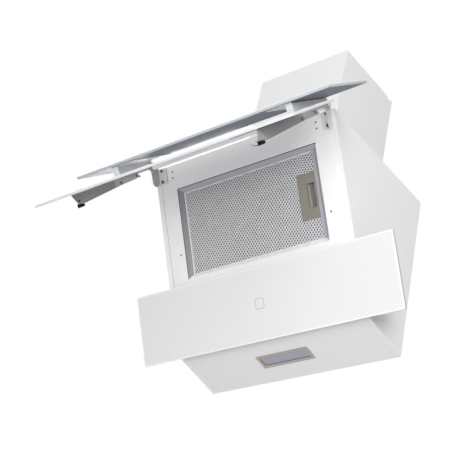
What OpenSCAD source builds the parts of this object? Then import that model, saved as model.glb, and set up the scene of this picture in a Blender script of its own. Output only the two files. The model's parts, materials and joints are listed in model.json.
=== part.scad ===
/* [Body] */
// Width of the body over its side panels
body_w = 432; // [420:1:480]
// Height of the body at the wall
body_h = 344; // [340:1:380]
// Depth of the body at its top
top_d = 300; // [295:1:330]
// Depth of the body at its underside
bottom_d = 118; // [112:1:130]
// How far the underside rises from the wall to its front edge
bottom_rise = 20; // [10:1:26]
// Thickness of the painted sheet
sheet_t = 1; // [0.8:0.1:1.2]
// Width of the rim folded in round each side panel
rim_w = 11; // [9:0.5:14]
// Depth of the stiffening returns behind each panel
return_d = 12; // [8:1:14]
// Gap at every seam between panels
seam = 0.3; // [0.2:0.05:0.4]

/* [Wall fixing] */
// Distance between the wall screws from left to right
wall_hole_dx = 300; // [260:5:330]
// Height of the lower wall screws above the rear bottom edge
wall_hole_low = 70; // [60:1:90]
// Height of the upper wall screws above the rear bottom edge
wall_hole_high = 290; // [280:1:305]
// Radius of the wall screw holes
wall_hole_r = 4; // [3:0.25:5]

/* [Filter pocket] */
// Width of the bevelled recess in the front
recess_w = 330; // [300:1:350]
// Distance of the recess below the top edge of the front
recess_s = 51; // [48:1:56]
// Length of the recess down the front
recess_len = 181; // [170:1:186]
// Depth of the bevelled part of the recess
recess_depth = 7; // [5:0.5:9]
// Width of the bevel seen from the front
bevel_run = 7.5; // [5:0.5:9]
// Thickness of the grease filter
filter_t = 9.5; // [8:0.5:11]
// Gap all round the filter
filter_gap = 0.5; // [0.3:0.1:0.8]
// Width of the lip that the filter rests on
filter_lip = 7; // [5:0.5:9]
// Width of the filter's own border
filter_border = 4.5; // [4:0.5:6]
// Pitch of the expanded mesh across the filter
mesh_dx = 24; // [20:0.5:28]
// Pitch of the expanded mesh down the filter
mesh_ds = 14; // [12:0.5:16]
// Width of a mesh strand
strand_w = 2.2; // [1.6:0.1:2.6]
// Thickness of a mesh sheet
mesh_t = 0.8; // [0.6:0.1:1]

/* [Filter latch] */
// Width of the latch housing
latch_w = 40; // [38:1:44]
// Length of the latch housing down the filter
latch_len = 86; // [80:1:90]
// Distance of the latch housing below the top of the filter
latch_s = 38; // [30:1:45]
// Width of the finger slot
grip_w = 18; // [16:0.5:20]
// Length of the finger slot
grip_len = 44; // [36:1:50]
// Width of the tongue down the filter
tongue_len = 22; // [18:1:26]
// How far the tongue reaches past the filter
tongue_reach = 2.6; // [2:0.2:3]
// Thickness of the tongue
tongue_t = 6; // [5:0.5:6.5]
// Thickness of the latch housing's walls
latch_wall = 1.5; // [1.2:0.1:2]

/* [Glass] */
// Width of the glass panes
glass_w = 595; // [560:1:600]
// Length of the lower and the middle pane
pane_len = 138.5; // [130:0.5:142]
// Length of the upper pane
upper_len = 133.7; // [128:0.1:138.5]
// Thickness of the two panes on the door
pane_t = 5; // [4:0.5:6]
// Thickness of the fixed lower pane
lower_t = 6; // [5:0.5:6.5]
// Distance of the lower pane below the top edge of the front
lower_s = 242; // [241:0.5:246]
// Thickness of the adhesive pads behind the lower pane
pad_t = 2; // [1.5:0.5:3]
// Radius of the glass corners
glass_r = 2; // [1:0.5:5]
// Distance of the touch sensor above the lower edge of the front
touch_up = 59.6; // [50:0.1:66]

/* [Door hinge] */
// Distance of the hinge axis below the top edge of the front
hinge_s = -5; // [-8:0.5:-3]
// Distance of the hinge axis out from the front
hinge_n = 15; // [14:0.5:17]
// Angle between the middle pane and the front with the door up
door_open = 69.7; // [60:0.1:75]
// Radius of the hinge pins
pin_r = 3; // [2.5:0.25:3.5]
// Running clearance of a pin in its bore
pin_gap = 0.05; // [0.03:0.01:0.09]
// Thickness of the bracket steel
bracket_t = 1.6; // [1.2:0.1:2]
// Side of the square cross tube
cross_w = 13; // [12:0.5:14]
// Wall of the square cross tube
cross_t = 1.2; // [1:0.1:1.6]
// Radius of the rounded ear round the hinge axis
ear_r = 9; // [8:0.5:10]
// Distance of the middle pane from the hinge axis along the arm
middle_u = 120.4; // [118:0.1:124]
// Height of the middle pane's underside over the hinge axis
middle_v = 2.3; // [2:0.1:4]
// Distance of the upper pane's rear edge behind the hinge axis
upper_u = -9; // [-10:0.1:-7]
// Height of the upper pane's underside over the hinge axis
upper_v = 12.6; // [12:0.1:15]
// Angle of the upper pane to the middle one
upper_tilt = 6; // [5:0.1:7]
// Tilt of the closed door over the front
closed_tilt = 2.4; // [1.5:0.1:3.5]
// Width of the flanges glued to the glass
flange_w = 55; // [30:1:80]

/* [Chimney] */
// Width of the chimney
chimney_w = 220; // [210:1:260]
// Depth of the chimney
chimney_d = 171; // [165:1:185]
// Height of the lower chimney
chimney_h = 305; // [280:1:400]
// Width of the lips at the rear of the lower chimney
lip_w = 15; // [12:1:20]
// Gap between the two chimneys
slip = 0.5; // [0.4:0.1:0.8]
// Distance between the two wall screws of the upper chimney
chimney_hole_dx = 120; // [80:5:140]

/* [Air outlet] */
// Radius of the duct collar
collar_r = 60; // [55:0.5:62]
// Height of the duct collar
collar_h = 40; // [32:1:50]
// Wall of the duct collar
collar_t = 2; // [1.8:0.1:2.4]
// Thickness of a damper flap
flap_t = 1.6; // [1.4:0.1:2]
// Radius of the flap pivots
pivot_r = 1.5; // [1.2:0.1:1.8]

/* [Blower] */
// Height of the fan axis above the rear bottom edge
fan_z = 222; // [215:1:226]
// Radius of the impeller
fan_r = 58; // [54:0.5:59]
// Length of the impeller
fan_w = 122; // [100:1:126]
// Number of blades
blades = 30; // [24:1:36]
// Depth of a blade from tip to root
blade_d = 10; // [8:0.5:12]
// Thickness of a blade
blade_t = 1.2; // [1:0.1:1.5]
// Smallest radius of the scroll
scroll_r = 66; // [65:0.5:68]
// Growth of the scroll's radius in each quarter turn
scroll_step = 4; // [3:0.25:4.5]
// Width of the scroll
scroll_w = 140; // [134:1:150]
// Wall of the scroll
scroll_t = 2; // [1.6:0.1:2.5]
// Width of the scroll's outlet from front to rear
outlet_w = 110; // [100:1:114]
// Radius of the scroll's inlets
inlet_r = 48; // [44:0.5:50]
// Radius of the motor
motor_r = 38; // [32:0.5:40]
// Radius of the motor shaft
shaft_r = 4; // [3:0.25:5]

/* [Lamp] */
// Length of the lamp bezel
lamp_w = 118; // [100:1:130]
// Width of the lamp bezel
lamp_d = 33; // [28:1:38]
// Distance of the lamp from the front edge of the underside
lamp_k = 46; // [40:1:50]
// Width of the bezel's border
bezel_w = 7; // [5:0.5:8]
// How far the bezel stands below the underside
bezel_t = 1.2; // [0.8:0.1:2]

/* [Hidden] */
$fn = 64;
eps = 0.01;
half_w = body_w / 2;
face_x = half_w - rim_w;
panel_x = face_x - seam;
slope_run = top_d - bottom_d;
slope_drop = body_h - bottom_rise;
slope_deg = atan(slope_run / slope_drop);
slope_len = norm([slope_run, slope_drop]);
under_deg = atan(bottom_rise / bottom_d);
under_len = norm([bottom_d, bottom_rise]);
hang_z = (wall_hole_low + wall_hole_high) / 2;
body_outline = [[0, 0], [0, body_h], [-top_d, body_h], [-bottom_d, bottom_rise]];

pocket_w = recess_w - 2 * bevel_run;
pocket_s = recess_s + bevel_run;
pocket_len = recess_len - 2 * bevel_run;
pocket_back = recess_depth + filter_t + 0.5;
filter_w = pocket_w - 2 * filter_gap;
filter_s = pocket_s + filter_gap;
filter_len = pocket_len - 2 * filter_gap;
filter_n = [-pocket_back, -pocket_back + filter_t];

latch_x = [filter_w / 2 - filter_border - latch_w - 3, filter_w / 2 - filter_border - 3];
latch_top = filter_s + latch_s;
latch_range = [latch_top, latch_top + latch_len];
latch_n = [filter_n[0] + 1, filter_n[1]];
latch_play = 0.3;
latch_travel = 8;
grip_x = [latch_x[1] - 2 - grip_w, latch_x[1] - 2];
grip_s = latch_top + (latch_len - grip_len) / 2;
tongue_n = [latch_n[0] + latch_wall + latch_play, latch_n[0] + latch_wall + latch_play + tongue_t];
tongue_s = latch_top + (latch_len - tongue_len) / 2;
tongue_x = filter_w / 2 + tongue_reach;
grip_rib = 4;
grip_groove = 4.5;

lower_n = [pad_t, pad_t + lower_t];
pad_x = face_x - 12;
touch_s = slope_len - touch_up;
touch_win = [64, 32];
icon_w = 19.5;

ear_x = half_w - 7;
arm_x = half_w - 3;
web_x = arm_x - bracket_t;
flange_x = half_w - 3 - flange_w;
tab_x = half_w - 14;
base_x = ear_x - 22;
hinge_screw_x = base_x + 11.5;
hinge_screw_s = [4.5, 27.5];
hinge_foot_s = 33;
ear_end = 36;
ear_out = [20.3, 14];
small_hole_x = 173.3;
small_hole_s = [13.5, 25.3];
recess_hole_x = 177;
recess_hole_s = 180.8;
small_hole_r = 1.2;
eye_r = pin_r + 5;
washer_r = pin_r + 1.8;
flange_u = ear_end + 8;
neck_v = -2.5;
arm_tip = [38, -10];
arm_low = [119, -12.9];
wedge_low = [98, -12];
wedge_end = middle_u + pane_len - 15.2;
fold_low = [wedge_end - 22, -20];
nose = [wedge_end - 2, -17.3];
nose_x = arm_x - 6;
catch_u = [wedge_end - 15.2, wedge_end - 3.3];
catch_x = [nose_x - 2, nose_x + 5.8];
catch_gap = 0.5;
catch_u_mid = (catch_u[0] + catch_u[1]) / 2;
stud_r = 1;
stud_top = -10.3;
bracket_end = 114;
door_screw_u = [51.8, 102.5];
door_screw_v = [-4.8, -8];
door_screw_r = 1.5;

fan_shift = scroll_r + 4 * scroll_step - outlet_w / 2;
fan_y = -chimney_d / 2 - fan_shift;
outlet_h = body_h - sheet_t - fan_z;
arc_centres = [[0, 0], [0, -1], [1, -1], [1, 0]] * scroll_step;
collar_top = body_h + collar_h;
flap_z = body_h + 8.8;
pivot_y = 3;
hub_t = 2;
motor_len = scroll_w / 2 - 8;
gland_x = chimney_w / 2 - 18;
gland_y = -22;
inner_w = chimney_w - 2 * (sheet_t + slip);
inner_front = -chimney_d + sheet_t + slip;
inner_rear = -sheet_t - slip;
inner_lip = lip_w + 12;
strap_x = chimney_w / 2 - sheet_t - lip_w - 1.5;
strap_w = 24;
strap_top = body_h + chimney_h - 12;
strap_z = [strap_top - strap_w, strap_top];
strap_mid = strap_top - strap_w / 2;
strap_screw_x = strap_x - 5;
strap_screw_r = 2;
strap_hole_r = 2.5;
inner_top = body_h + chimney_h - 2;
inner_bottom = body_h + 4;
notch_size = [9, 7];
notch_y = -16;

seat = 0.1;
return_inset = 25;
hinge_hole_r = 1.7;
slot_pitch = 24;
slot_w = 16;
slot_inset = 14;
mesh_play = 0.3;
pad_w = 12;
pad_inset = 8;
holder_lap = 3;
holder_wall = 2;
holder_depth = 9;

lamp_cut = 3;
lamp_fit = 0.2;
lamp_wall = 1.8;
lamp_h = 8.9;
lens_t = 1.4;
lens_z = 1.6;
lamp_board_z = 6.5;
led_w = 3.6;
led_h = 1.1;
led_pitch = 14;

lug = [4, 18, 10];
lug_angles = [135, 215, 290];
scroll_foot = 9;
scroll_foot_t = 2.5;
motor_plate = 2.5;

collar_flange = 12;
collar_base = 1.8;
ledge = 3;
ledge_h = flap_z - body_h - flap_t / 2 - 0.3;
spine_y = 9;
gland_r = 6;
gland_nut_r = 9;
gland_bore_r = 4;

box_x = [100, 190];
box_z = [120, 220];
box_d = 38;
box_wall = 2;
board_depth = 12;
board_t = 1.6;
board_gap = 2.2;
board_post = 8;
transformer = [30, 19, 34];
transformer_at = [14, 20];
relay = [18, 15, 20];
relay_at = [56, 24];
terminal = [12, 13, 14];
terminal_at = [14, 70];
terminal_pitch = 15;
capacitor_r = 16;
capacitor_h = 56;
capacitor_at = [-150, 130];
clamp_t = 1.5;
clamp_h = 16;
clamp_w = 52;
clamp_z = 18;

// Height over the hinge axis, at distance u along the arm, of a line that the closed door
// holds at height n over the front
function closed_v(u, n) = (n - hinge_n - u * sin(closed_tilt)) / cos(closed_tilt);
// Height of the upper pane's underside at distance u along the arm
function upper_at(u) = upper_v + (u - upper_u) * tan(upper_tilt);
// A convex outline, listed anticlockwise, moved in by d on every side
function unit(v) = v / norm(v);
function inward(a, b) = unit([a[1] - b[1], b[0] - a[0]]);
function inset(p, d) = [for (i = [0:len(p) - 1])
    let (q = len(p), a = inward(p[(i + q - 1) % q], p[i]), b = inward(p[i], p[(i + 1) % q]))
    p[i] + d * (a + b) / (1 + a * b)];

// Height of the lip under the nose at distance u along the arm
function lip_v(u) = fold_low[1]
    + (u - fold_low[0]) * (nose[1] - fold_low[1]) / (nose[0] - fold_low[0]);

// The origin lies on the wall, in the middle of the four wall screws
module from_wall() {
    translate([0, 0, -hang_z]) children();
}
// Frame of the sloping front: X across, -Y down the slope from its top edge, Z out of it
module on_slope() {
    from_wall() translate([0, -top_d, body_h]) rotate([90 + slope_deg, 0, 0]) children();
}
// Frame of the door: X along the hinge axis, -Y along the arm, Z towards the glass
module on_door() {
    on_slope() translate([0, -hinge_s, hinge_n]) rotate([-door_open, 0, 0]) children();
}
// Frame of the underside: X across, Y from its front edge towards the wall, Z into the body
module on_under() {
    from_wall() translate([0, -bottom_d, bottom_rise]) rotate([-under_deg, 0, 0]) children();
}
// Frame of the fan: its axis is X
module on_fan() {
    from_wall() translate([0, fan_y, fan_z]) children();
}
// Draws its children on the right side, or mirrored on the left
module on_side(side) {
    if (side < 0) {
        mirror([1, 0, 0]) children();
    } else {
        children();
    }
}
// A block given by its ranges across, down the slope and out of it
module slab(x, s, n) {
    translate([x[0], -s[1], n[0]]) cube([x[1] - x[0], s[1] - s[0], n[1] - n[0]]);
}
// An outline of (distance down, height out), as thick as its range across
module across(x) {
    translate([x[1], 0, 0]) rotate([90, 0, -90]) linear_extrude(x[1] - x[0]) children();
}
// An outline of (across, height out), as long as its range down the slope
module down(s) {
    translate([0, -s[0], 0]) rotate([90, 0, 0]) linear_extrude(s[1] - s[0]) children();
}
// An outline of (depth, height), as thick as its range across
module along_x(x) {
    translate([x[0], 0, 0]) rotate([90, 0, 90]) linear_extrude(x[1] - x[0]) children();
}
// A round bar along X at (distance down, height out)
module bar(x, s, n, r) {
    translate([x[0], -s, n]) rotate([0, 90, 0]) cylinder(r = r, h = x[1] - x[0]);
}
// A round bar out of the slope
module post(x, s, n, r) {
    translate([x, -s, n[0]]) cylinder(r = r, h = n[1] - n[0]);
}
// A round bar along X in the frame of the fan
module axle(x, r) {
    translate([x[0], 0, 0]) rotate([0, 90, 0]) cylinder(r = r, h = x[1] - x[0]);
}
module rounded_rect(w, l, r) {
    translate([-w / 2 + r, 0]) square([w - 2 * r, l]);
    translate([-w / 2, r]) square([w, l - 2 * r]);
    for (x = [-w / 2 + r, w / 2 - r], y = [r, l - r]) {
        translate([x, y]) circle(r);
    }
}
// A glass pane that starts at distance s and height n
module pane(s, l, n, t) {
    translate([0, -s - l, n]) linear_extrude(t) rounded_rect(glass_w, l, glass_r);
}

// A side panel is a tray: the outer sheet with a rim folded in all round
module side_panel(side) {
    color("white") from_wall() on_side(side) difference() {
        along_x([face_x, half_w]) polygon(body_outline);
        along_x([face_x - 1, half_w - sheet_t]) polygon(inset(body_outline, sheet_t));
    }
}
module side_panel_left() {
    side_panel(-1);
}
module side_panel_right() {
    side_panel(1);
}

// The bevelled recess as a solid, grown by the sheet for its outside
module recess_form(grow) {
    deep = recess_depth + grow;
    intersection() {
        across([-recess_w, recess_w]) polygon([
            [recess_s - grow, eps], [recess_s + recess_len + grow, eps],
            [recess_s + recess_len + grow - bevel_run, -deep], [pocket_s - grow, -deep]]);
        down([recess_s - 20, recess_s + recess_len + 20]) polygon([
            [-recess_w / 2 - grow, eps], [recess_w / 2 + grow, eps],
            [recess_w / 2 + grow - bevel_run, -deep], [-recess_w / 2 - grow + bevel_run, -deep]]);
    }
}
module pocket_form(grow, deep) {
    slab([-pocket_w / 2 - grow, pocket_w / 2 + grow],
        [pocket_s - grow, pocket_s + pocket_len + grow], [-deep, -recess_depth + eps]);
}
module front_frame() {
    lip_x = pocket_w / 2 - filter_lip;
    color("whitesmoke") on_slope() difference() {
        union() {
            slab([-panel_x, panel_x], [sheet_t, slope_len - sheet_t], [-sheet_t, 0]);
            for (side = [-1, 1]) {
                on_side(side) slab([panel_x - sheet_t, panel_x],
                    [return_inset, slope_len - return_inset], [-return_d, 0]);
            }
            intersection() {
                recess_form(sheet_t);
                slab([-recess_w, recess_w], [0, slope_len], [-return_d, 0]);
            }
            pocket_form(sheet_t, pocket_back + sheet_t);
        }
        recess_form(0);
        pocket_form(0, pocket_back);
        slab([-lip_x, lip_x], [pocket_s + filter_lip, pocket_s + pocket_len - filter_lip],
            [-pocket_back - 2 * sheet_t, 0]);
        slab([pocket_w / 2 - 1, pocket_w / 2 + 2 * sheet_t],
            [tongue_s - 1, tongue_s + tongue_len + 1], [tongue_n[0] - 1, -recess_depth - 0.6]);
        slab([-touch_win[0] / 2, touch_win[0] / 2],
            [touch_s - touch_win[1] / 2, touch_s + touch_win[1] / 2], [-2 * sheet_t, 1]);
        for (x = [-1, 1]) {
            for (s = small_hole_s) {
                post(x * small_hole_x, s, [-2 * sheet_t, 1], small_hole_r);
            }
            for (s = hinge_screw_s) {
                post(x * hinge_screw_x, s, [-2 * sheet_t, 1], hinge_hole_r);
            }
            post(x * recess_hole_x, recess_hole_s, [-2 * sheet_t, 1], small_hole_r);
        }
    }
}
module bottom_panel() {
    front = 1.3 * sheet_t;
    color("gainsboro") on_under() difference() {
        union() {
            translate([-panel_x, front, 0]) cube([2 * panel_x, under_len - front - seam, sheet_t]);
            for (side = [-1, 1]) {
                on_side(side) translate([panel_x - sheet_t, 20, 0])
                    cube([sheet_t, under_len - 40, return_d]);
            }
        }
        translate([-lamp_w / 2 + lamp_cut, lamp_k + lamp_cut, -1])
            cube([lamp_w - 2 * lamp_cut, lamp_d - 2 * lamp_cut, 4]);
    }
}
module top_panel() {
    front = top_d - 2 * sheet_t;
    color("white") from_wall() difference() {
        union() {
            translate([-panel_x, -front, body_h - sheet_t])
                cube([2 * panel_x, front - sheet_t - seam, sheet_t]);
            for (side = [-1, 1]) {
                on_side(side) translate([panel_x - sheet_t, -front + return_inset, body_h - return_d])
                    cube([sheet_t, front - 2 * return_inset, return_d]);
            }
        }
        translate([0, -chimney_d / 2, body_h - 5]) cylinder(r = collar_r - collar_t, h = 10);
        translate([gland_x, gland_y, body_h - 5]) cylinder(r = gland_r + 0.2, h = 10);
    }
}
module back_panel() {
    low = sheet_t + seam;
    high = body_h - sheet_t - seam;
    color("white") from_wall() difference() {
        union() {
            translate([-panel_x, -sheet_t, low]) cube([2 * panel_x, sheet_t, high - low]);
            for (side = [-1, 1]) {
                on_side(side) translate([panel_x - sheet_t, -return_d, return_inset])
                    cube([sheet_t, return_d, body_h - 2 * return_inset]);
            }
        }
        for (x = [-1, 1], z = [wall_hole_low, wall_hole_high]) {
            translate([x * wall_hole_dx / 2, 5, z]) rotate([90, 0, 0]) cylinder(r = wall_hole_r, h = 10);
        }
    }
}

// A chimney is a folded channel with two lips at the wall; outline seen from above
module channel(w, front, rear, lip) {
    difference() {
        translate([-w / 2, front]) square([w, rear - front]);
        translate([-w / 2 + sheet_t, front + sheet_t])
            square([w - 2 * sheet_t, rear - front - 2 * sheet_t]);
        translate([-w / 2 + lip, rear - 2 * sheet_t]) square([w - 2 * lip, 3 * sheet_t]);
    }
}
module chimney_lower() {
    color("white") from_wall() difference() {
        translate([0, 0, body_h]) linear_extrude(chimney_h)
            channel(chimney_w, -chimney_d, 0, sheet_t + lip_w);
        translate([chimney_w / 2 - 2 * sheet_t, notch_y, body_h + chimney_h - notch_size[1]])
            cube([4 * sheet_t, notch_size[0], notch_size[1] + 1]);
    }
}
module chimney_upper() {
    color("white") from_wall() difference() {
        translate([0, 0, inner_bottom]) linear_extrude(inner_top - inner_bottom)
            channel(inner_w, inner_front, inner_rear, sheet_t + inner_lip);
        for (x = [-1, 1]) {
            translate([x * strap_screw_x, 5, strap_mid])
                rotate([90, 0, 0]) cylinder(r = strap_screw_r, h = 20);
        }
    }
}
// Flat strap behind the upper chimney, with two screw holes for the wall and a screw at each end
module chimney_strap() {
    front = inner_rear + seat;
    color("silver") from_wall() {
        difference() {
            translate([-strap_x, front, strap_z[0]]) cube([2 * strap_x, -front, strap_w]);
            for (x = [-1, 1]) {
                translate([x * chimney_hole_dx / 2, 5, strap_mid])
                    rotate([90, 0, 0]) cylinder(r = strap_hole_r, h = 20);
            }
        }
        for (x = [-1, 1]) {
            translate([x * strap_screw_x, front, strap_mid])
                rotate([90, 0, 0]) cylinder(r = strap_screw_r - seat, h = sheet_t + 2 * seat);
            translate([x * strap_screw_x, front - sheet_t - 2 * seat, strap_mid])
                rotate([90, 0, 0]) cylinder(r = strap_screw_r + 1.5, h = 1.6);
        }
    }
}

module filter_frame() {
    inner_x = filter_w / 2 - filter_border;
    color("silver") on_slope() difference() {
        slab([-filter_w / 2, filter_w / 2], [filter_s, filter_s + filter_len], filter_n);
        slab([-inner_x, inner_x], [filter_s + filter_border, filter_s + filter_len - filter_border],
            [filter_n[0] - 1, filter_n[1] + 1]);
        slab([-filter_w / 2 + sheet_t, filter_w / 2 - sheet_t],
            [filter_s + sheet_t, filter_s + filter_len - sheet_t],
            [filter_n[0] + sheet_t, filter_n[1] - sheet_t]);
        slab([inner_x - 1, filter_w / 2 + 1],
            [tongue_s - 0.5, tongue_s + tongue_len + 0.5],
            [tongue_n[0] - 0.3, tongue_n[1] + 0.3]);
    }
}
// One sheet of expanded metal as a single outline: an L that leaves room for the latch, with a
// diamond hole at every second crossing of a grid
module expanded_sheet(w, l, notch) {
    hole = [mesh_dx, mesh_ds] - [2, 1.25] * strand_w;
    rim = filter_border + 1;
    cols = floor((w - 2 * rim) / mesh_dx);
    rows = floor((l - 2 * rim) / mesh_ds);
    places = [for (i = [0:2 * cols - 2], j = [0:2 * rows - 2])
        let (x = (i - cols + 1) * mesh_dx / 2, y = (j - rows + 1) * mesh_ds / 2)
        if ((i + j) % 2 == 0 && (x + mesh_dx / 2 < notch[0] - 1
            || y + mesh_ds / 2 < notch[1] - 1 || y - mesh_ds / 2 > notch[2] + 1)) [x, y]];
    outer = [[-w / 2, -l / 2], [w / 2, -l / 2], [w / 2, notch[1]], [notch[0], notch[1]],
        [notch[0], notch[2]], [w / 2, notch[2]], [w / 2, l / 2], [-w / 2, l / 2]];
    corners = [for (p = places, c = [[-1, 0], [0, 1], [1, 0], [0, -1]])
        p + [c[0] * hole[0] / 2, c[1] * hole[1] / 2]];
    polygon(concat(outer, corners), concat([[for (k = [0:7]) k]],
        [for (i = [0:len(places) - 1]) [for (k = [0:3]) 8 + 4 * i + k]]));
}
module filter_mesh() {
    w = filter_w - 2 * sheet_t - 0.4;
    l = filter_len - 2 * sheet_t - 0.4;
    mid_s = filter_s + filter_len / 2;
    notch = [latch_x[0] - mesh_play, mid_s - latch_range[1] - mesh_play,
        mid_s - latch_range[0] + mesh_play];
    back_n = filter_n[0] + sheet_t + seat;
    half = floor((w / 2 - slot_inset - slot_w / 2) / slot_pitch);
    color("darkgray") on_slope() {
        translate([0, -mid_s, filter_n[1] - sheet_t - mesh_t - seat])
            linear_extrude(mesh_t) expanded_sheet(w, l, notch);
        difference() {
            slab([-w / 2, w / 2], [mid_s - l / 2, mid_s + l / 2], [back_n, back_n + mesh_t]);
            for (i = [-half:half]) {
                slab([i * slot_pitch - slot_w / 2, i * slot_pitch + slot_w / 2],
                    [filter_s + slot_inset, filter_s + filter_len - slot_inset], [-50, 0]);
            }
            slab([latch_x[0] - mesh_play, filter_w],
                [latch_range[0] - mesh_play, latch_range[1] + mesh_play], [-50, 0]);
        }
    }
}

module latch_housing() {
    back_n = latch_n[0] + latch_wall;
    color([0.55, 0.53, 0.48]) on_slope() difference() {
        slab([latch_x[0], filter_w / 2 - filter_border - seam], latch_range, latch_n);
        slab([latch_x[0] + latch_wall, filter_w / 2],
            [tongue_s - latch_play, tongue_s + tongue_len + latch_play],
            [back_n, latch_n[1] - latch_wall]);
        slab([grip_x[0] - 10, latch_x[1] - 2],
            [grip_s - latch_play, grip_s + grip_len + latch_play],
            [back_n, latch_n[1] - latch_wall]);
        slab(grip_x, [grip_s, grip_s + grip_len], [back_n, latch_n[1] + 1]);
    }
}
// Slider with a finger ramp, a groove and a rib to push, and the tongue
module latch_slider() {
    base = tongue_n[0] + 1.6;
    high = latch_n[1] - latch_wall - 0.4;
    rib_x = [grip_x[1] - grip_rib - 0.8, grip_x[1] - 0.8];
    color([0.5, 0.48, 0.43]) on_slope() union() {
        down([grip_s + 0.2, grip_s + grip_len - 0.2]) polygon([
            [grip_x[0] - 1, tongue_n[0]], [rib_x[1], tongue_n[0]], [rib_x[1], high],
            [rib_x[0], high], [rib_x[0], base], [rib_x[0] - grip_groove, base],
            [grip_x[0] + 1, high - 0.3], [grip_x[0] - 1, high - 0.3]]);
        latch_tongue();
    }
}
// The tongue's outer side is bevelled, so that the filter snaps out as the slider draws back
module latch_tongue() {
    low = tongue_n[0];
    high = min(tongue_n[1], latch_n[1] - latch_wall - 0.3);
    down([tongue_s, tongue_s + tongue_len]) polygon([
        [grip_x[1] - 3, low], [tongue_x, low], [tongue_x, low + 0.6],
        [filter_w / 2 - 0.4, high], [grip_x[1] - 3, high]]);
}
module lower_glass() {
    color([0.93, 0.94, 0.95]) on_slope() pane(lower_s, pane_len, lower_n[0], lower_t);
}
module lower_glass_pads() {
    color("dimgray") on_slope() {
        for (s = [lower_s + pad_inset, slope_len - 2 * pad_w]) {
            slab([-pad_x, pad_x], [s, s + pad_w], [0, pad_t]);
        }
    }
}
// A block round the middle of the touch window, a given amount larger than it on every side
module touch_block(grow, n) {
    slab([-touch_win[0] / 2 - grow, touch_win[0] / 2 + grow],
        [touch_s - touch_win[1] / 2 - grow, touch_s + touch_win[1] / 2 + grow], n);
}
module touch_holder() {
    color("dimgray") on_slope() difference() {
        union() {
            touch_block(-0.3, [-holder_depth, pad_t - 0.2]);
            touch_block(holder_lap, [-sheet_t - 1.5, -sheet_t]);
        }
        touch_block(-holder_wall, [-holder_depth + 1.5, pad_t + 1]);
    }
}
module touch_board() {
    base = -holder_depth + 1.5;
    color("seagreen") on_slope() {
        touch_block(-board_gap, [base, base + board_t]);
        slab([-icon_w / 2, icon_w / 2], [touch_s - icon_w / 2, touch_s + icon_w / 2],
            [base + board_t, pad_t - 0.2]);
    }
}

module upper_glass() {
    color([0.93, 0.94, 0.95]) on_door() translate([0, -upper_u, upper_v])
        rotate([-upper_tilt, 0, 0]) pane(0, upper_len, 0, pane_t);
}
module middle_glass() {
    color([0.93, 0.94, 0.95]) on_door() pane(middle_u, pane_len, middle_v, pane_t);
}

// Inner arm: an eye on the hinge pin, a slim neck, a web with two screws and a flange
module door_arm(side) {
    color("white") on_door() on_side(side) difference() {
        union() {
            across([arm_x, arm_x + bracket_t]) union() {
                circle(r = eye_r);
                polygon([[0, middle_v], [0, neck_v], [arm_tip[0] + 7, neck_v], arm_tip,
                    arm_low, [arm_low[0], middle_v]]);
            }
            slab([tab_x, arm_x + bracket_t], [flange_u, arm_low[0]],
                [middle_v - bracket_t, middle_v]);
        }
        bar([arm_x - 1, arm_x + 3], 0, 0, pin_r + 0.01);
        for (i = [0, 1]) {
            bar([arm_x - 1, arm_x + 3], door_screw_u[i], door_screw_v[i], door_screw_r + seat);
        }
    }
}
module door_arm_left() {
    door_arm(-1);
}
module door_arm_right() {
    door_arm(1);
}
// A thin strip of the wedge's sheet, across the hinge axis, that runs through a point of the arm
module strip(x, at) {
    across(x) translate(at) square(0.1);
}
// Outer arm: a tapering web outside the inner one, the wide flange glued under the pane, a
// nose folded in at the outer end and a lip below it that carries the catch
module arm_wedge(side) {
    x0 = arm_x + bracket_t;
    x1 = x0 + bracket_t;
    top = [wedge_end, middle_v - 0.1];
    color("lightgray") on_door() on_side(side) difference() {
        union() {
            across([x0, x1]) polygon([[wedge_low[0], middle_v], wedge_low, fold_low, top]);
            hull() {
                strip([x0, x1], fold_low);
                strip([x0, x1], top - [0.1, 0]);
                strip([nose_x, nose_x + bracket_t], nose);
            }
            hull() {
                strip([nose_x - 4, x1], fold_low);
                strip([nose_x - 4, x1], fold_low + [0, bracket_t]);
                strip([nose_x - 4, nose_x + bracket_t], nose);
                strip([nose_x - 4, nose_x + bracket_t], nose + [0, bracket_t]);
            }
            slab([flange_x, x0 + eps], [middle_u + 1, wedge_end],
                [middle_v - bracket_t, middle_v]);
        }
        bar([x0 - 1, x0 + 3], door_screw_u[1], door_screw_v[1], door_screw_r + seat);
        translate([(catch_x[0] + catch_x[1]) / 2, -catch_u_mid, lip_v(catch_u_mid) - 3])
            cylinder(r = stud_r + 0.05, h = 10);
    }
}
module arm_wedge_left() {
    arm_wedge(-1);
}
module arm_wedge_right() {
    arm_wedge(1);
}
// Upper bracket: a wedge of folded steel that carries the upper pane over the middle one
module upper_bracket(side) {
    u0 = upper_u + 5;
    low = middle_v + 0.1;
    over_pin = washer_r + 0.3;
    color("lightgray") on_door() on_side(side) union() {
        across([web_x, arm_x]) polygon([
            [u0, over_pin], [u0, upper_at(u0)], [bracket_end, upper_at(bracket_end)],
            [bracket_end, low], [flange_u, low], [washer_r + 1, over_pin]]);
        translate([0, -upper_u, upper_v]) rotate([-upper_tilt, 0, 0])
            slab([flange_x, arm_x], [u0 - upper_u, bracket_end - upper_u], [-bracket_t, 0]);
        slab([tab_x, arm_x], [flange_u, bracket_end], [low, low + bracket_t]);
        across([web_x - 12, arm_x]) polygon([
            [bracket_end - bracket_t, low], [bracket_end - bracket_t, upper_at(bracket_end) - 1.5],
            [bracket_end, upper_at(bracket_end) - 1.5], [bracket_end, low]]);
    }
}
module upper_bracket_left() {
    upper_bracket(-1);
}
module upper_bracket_right() {
    upper_bracket(1);
}
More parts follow.
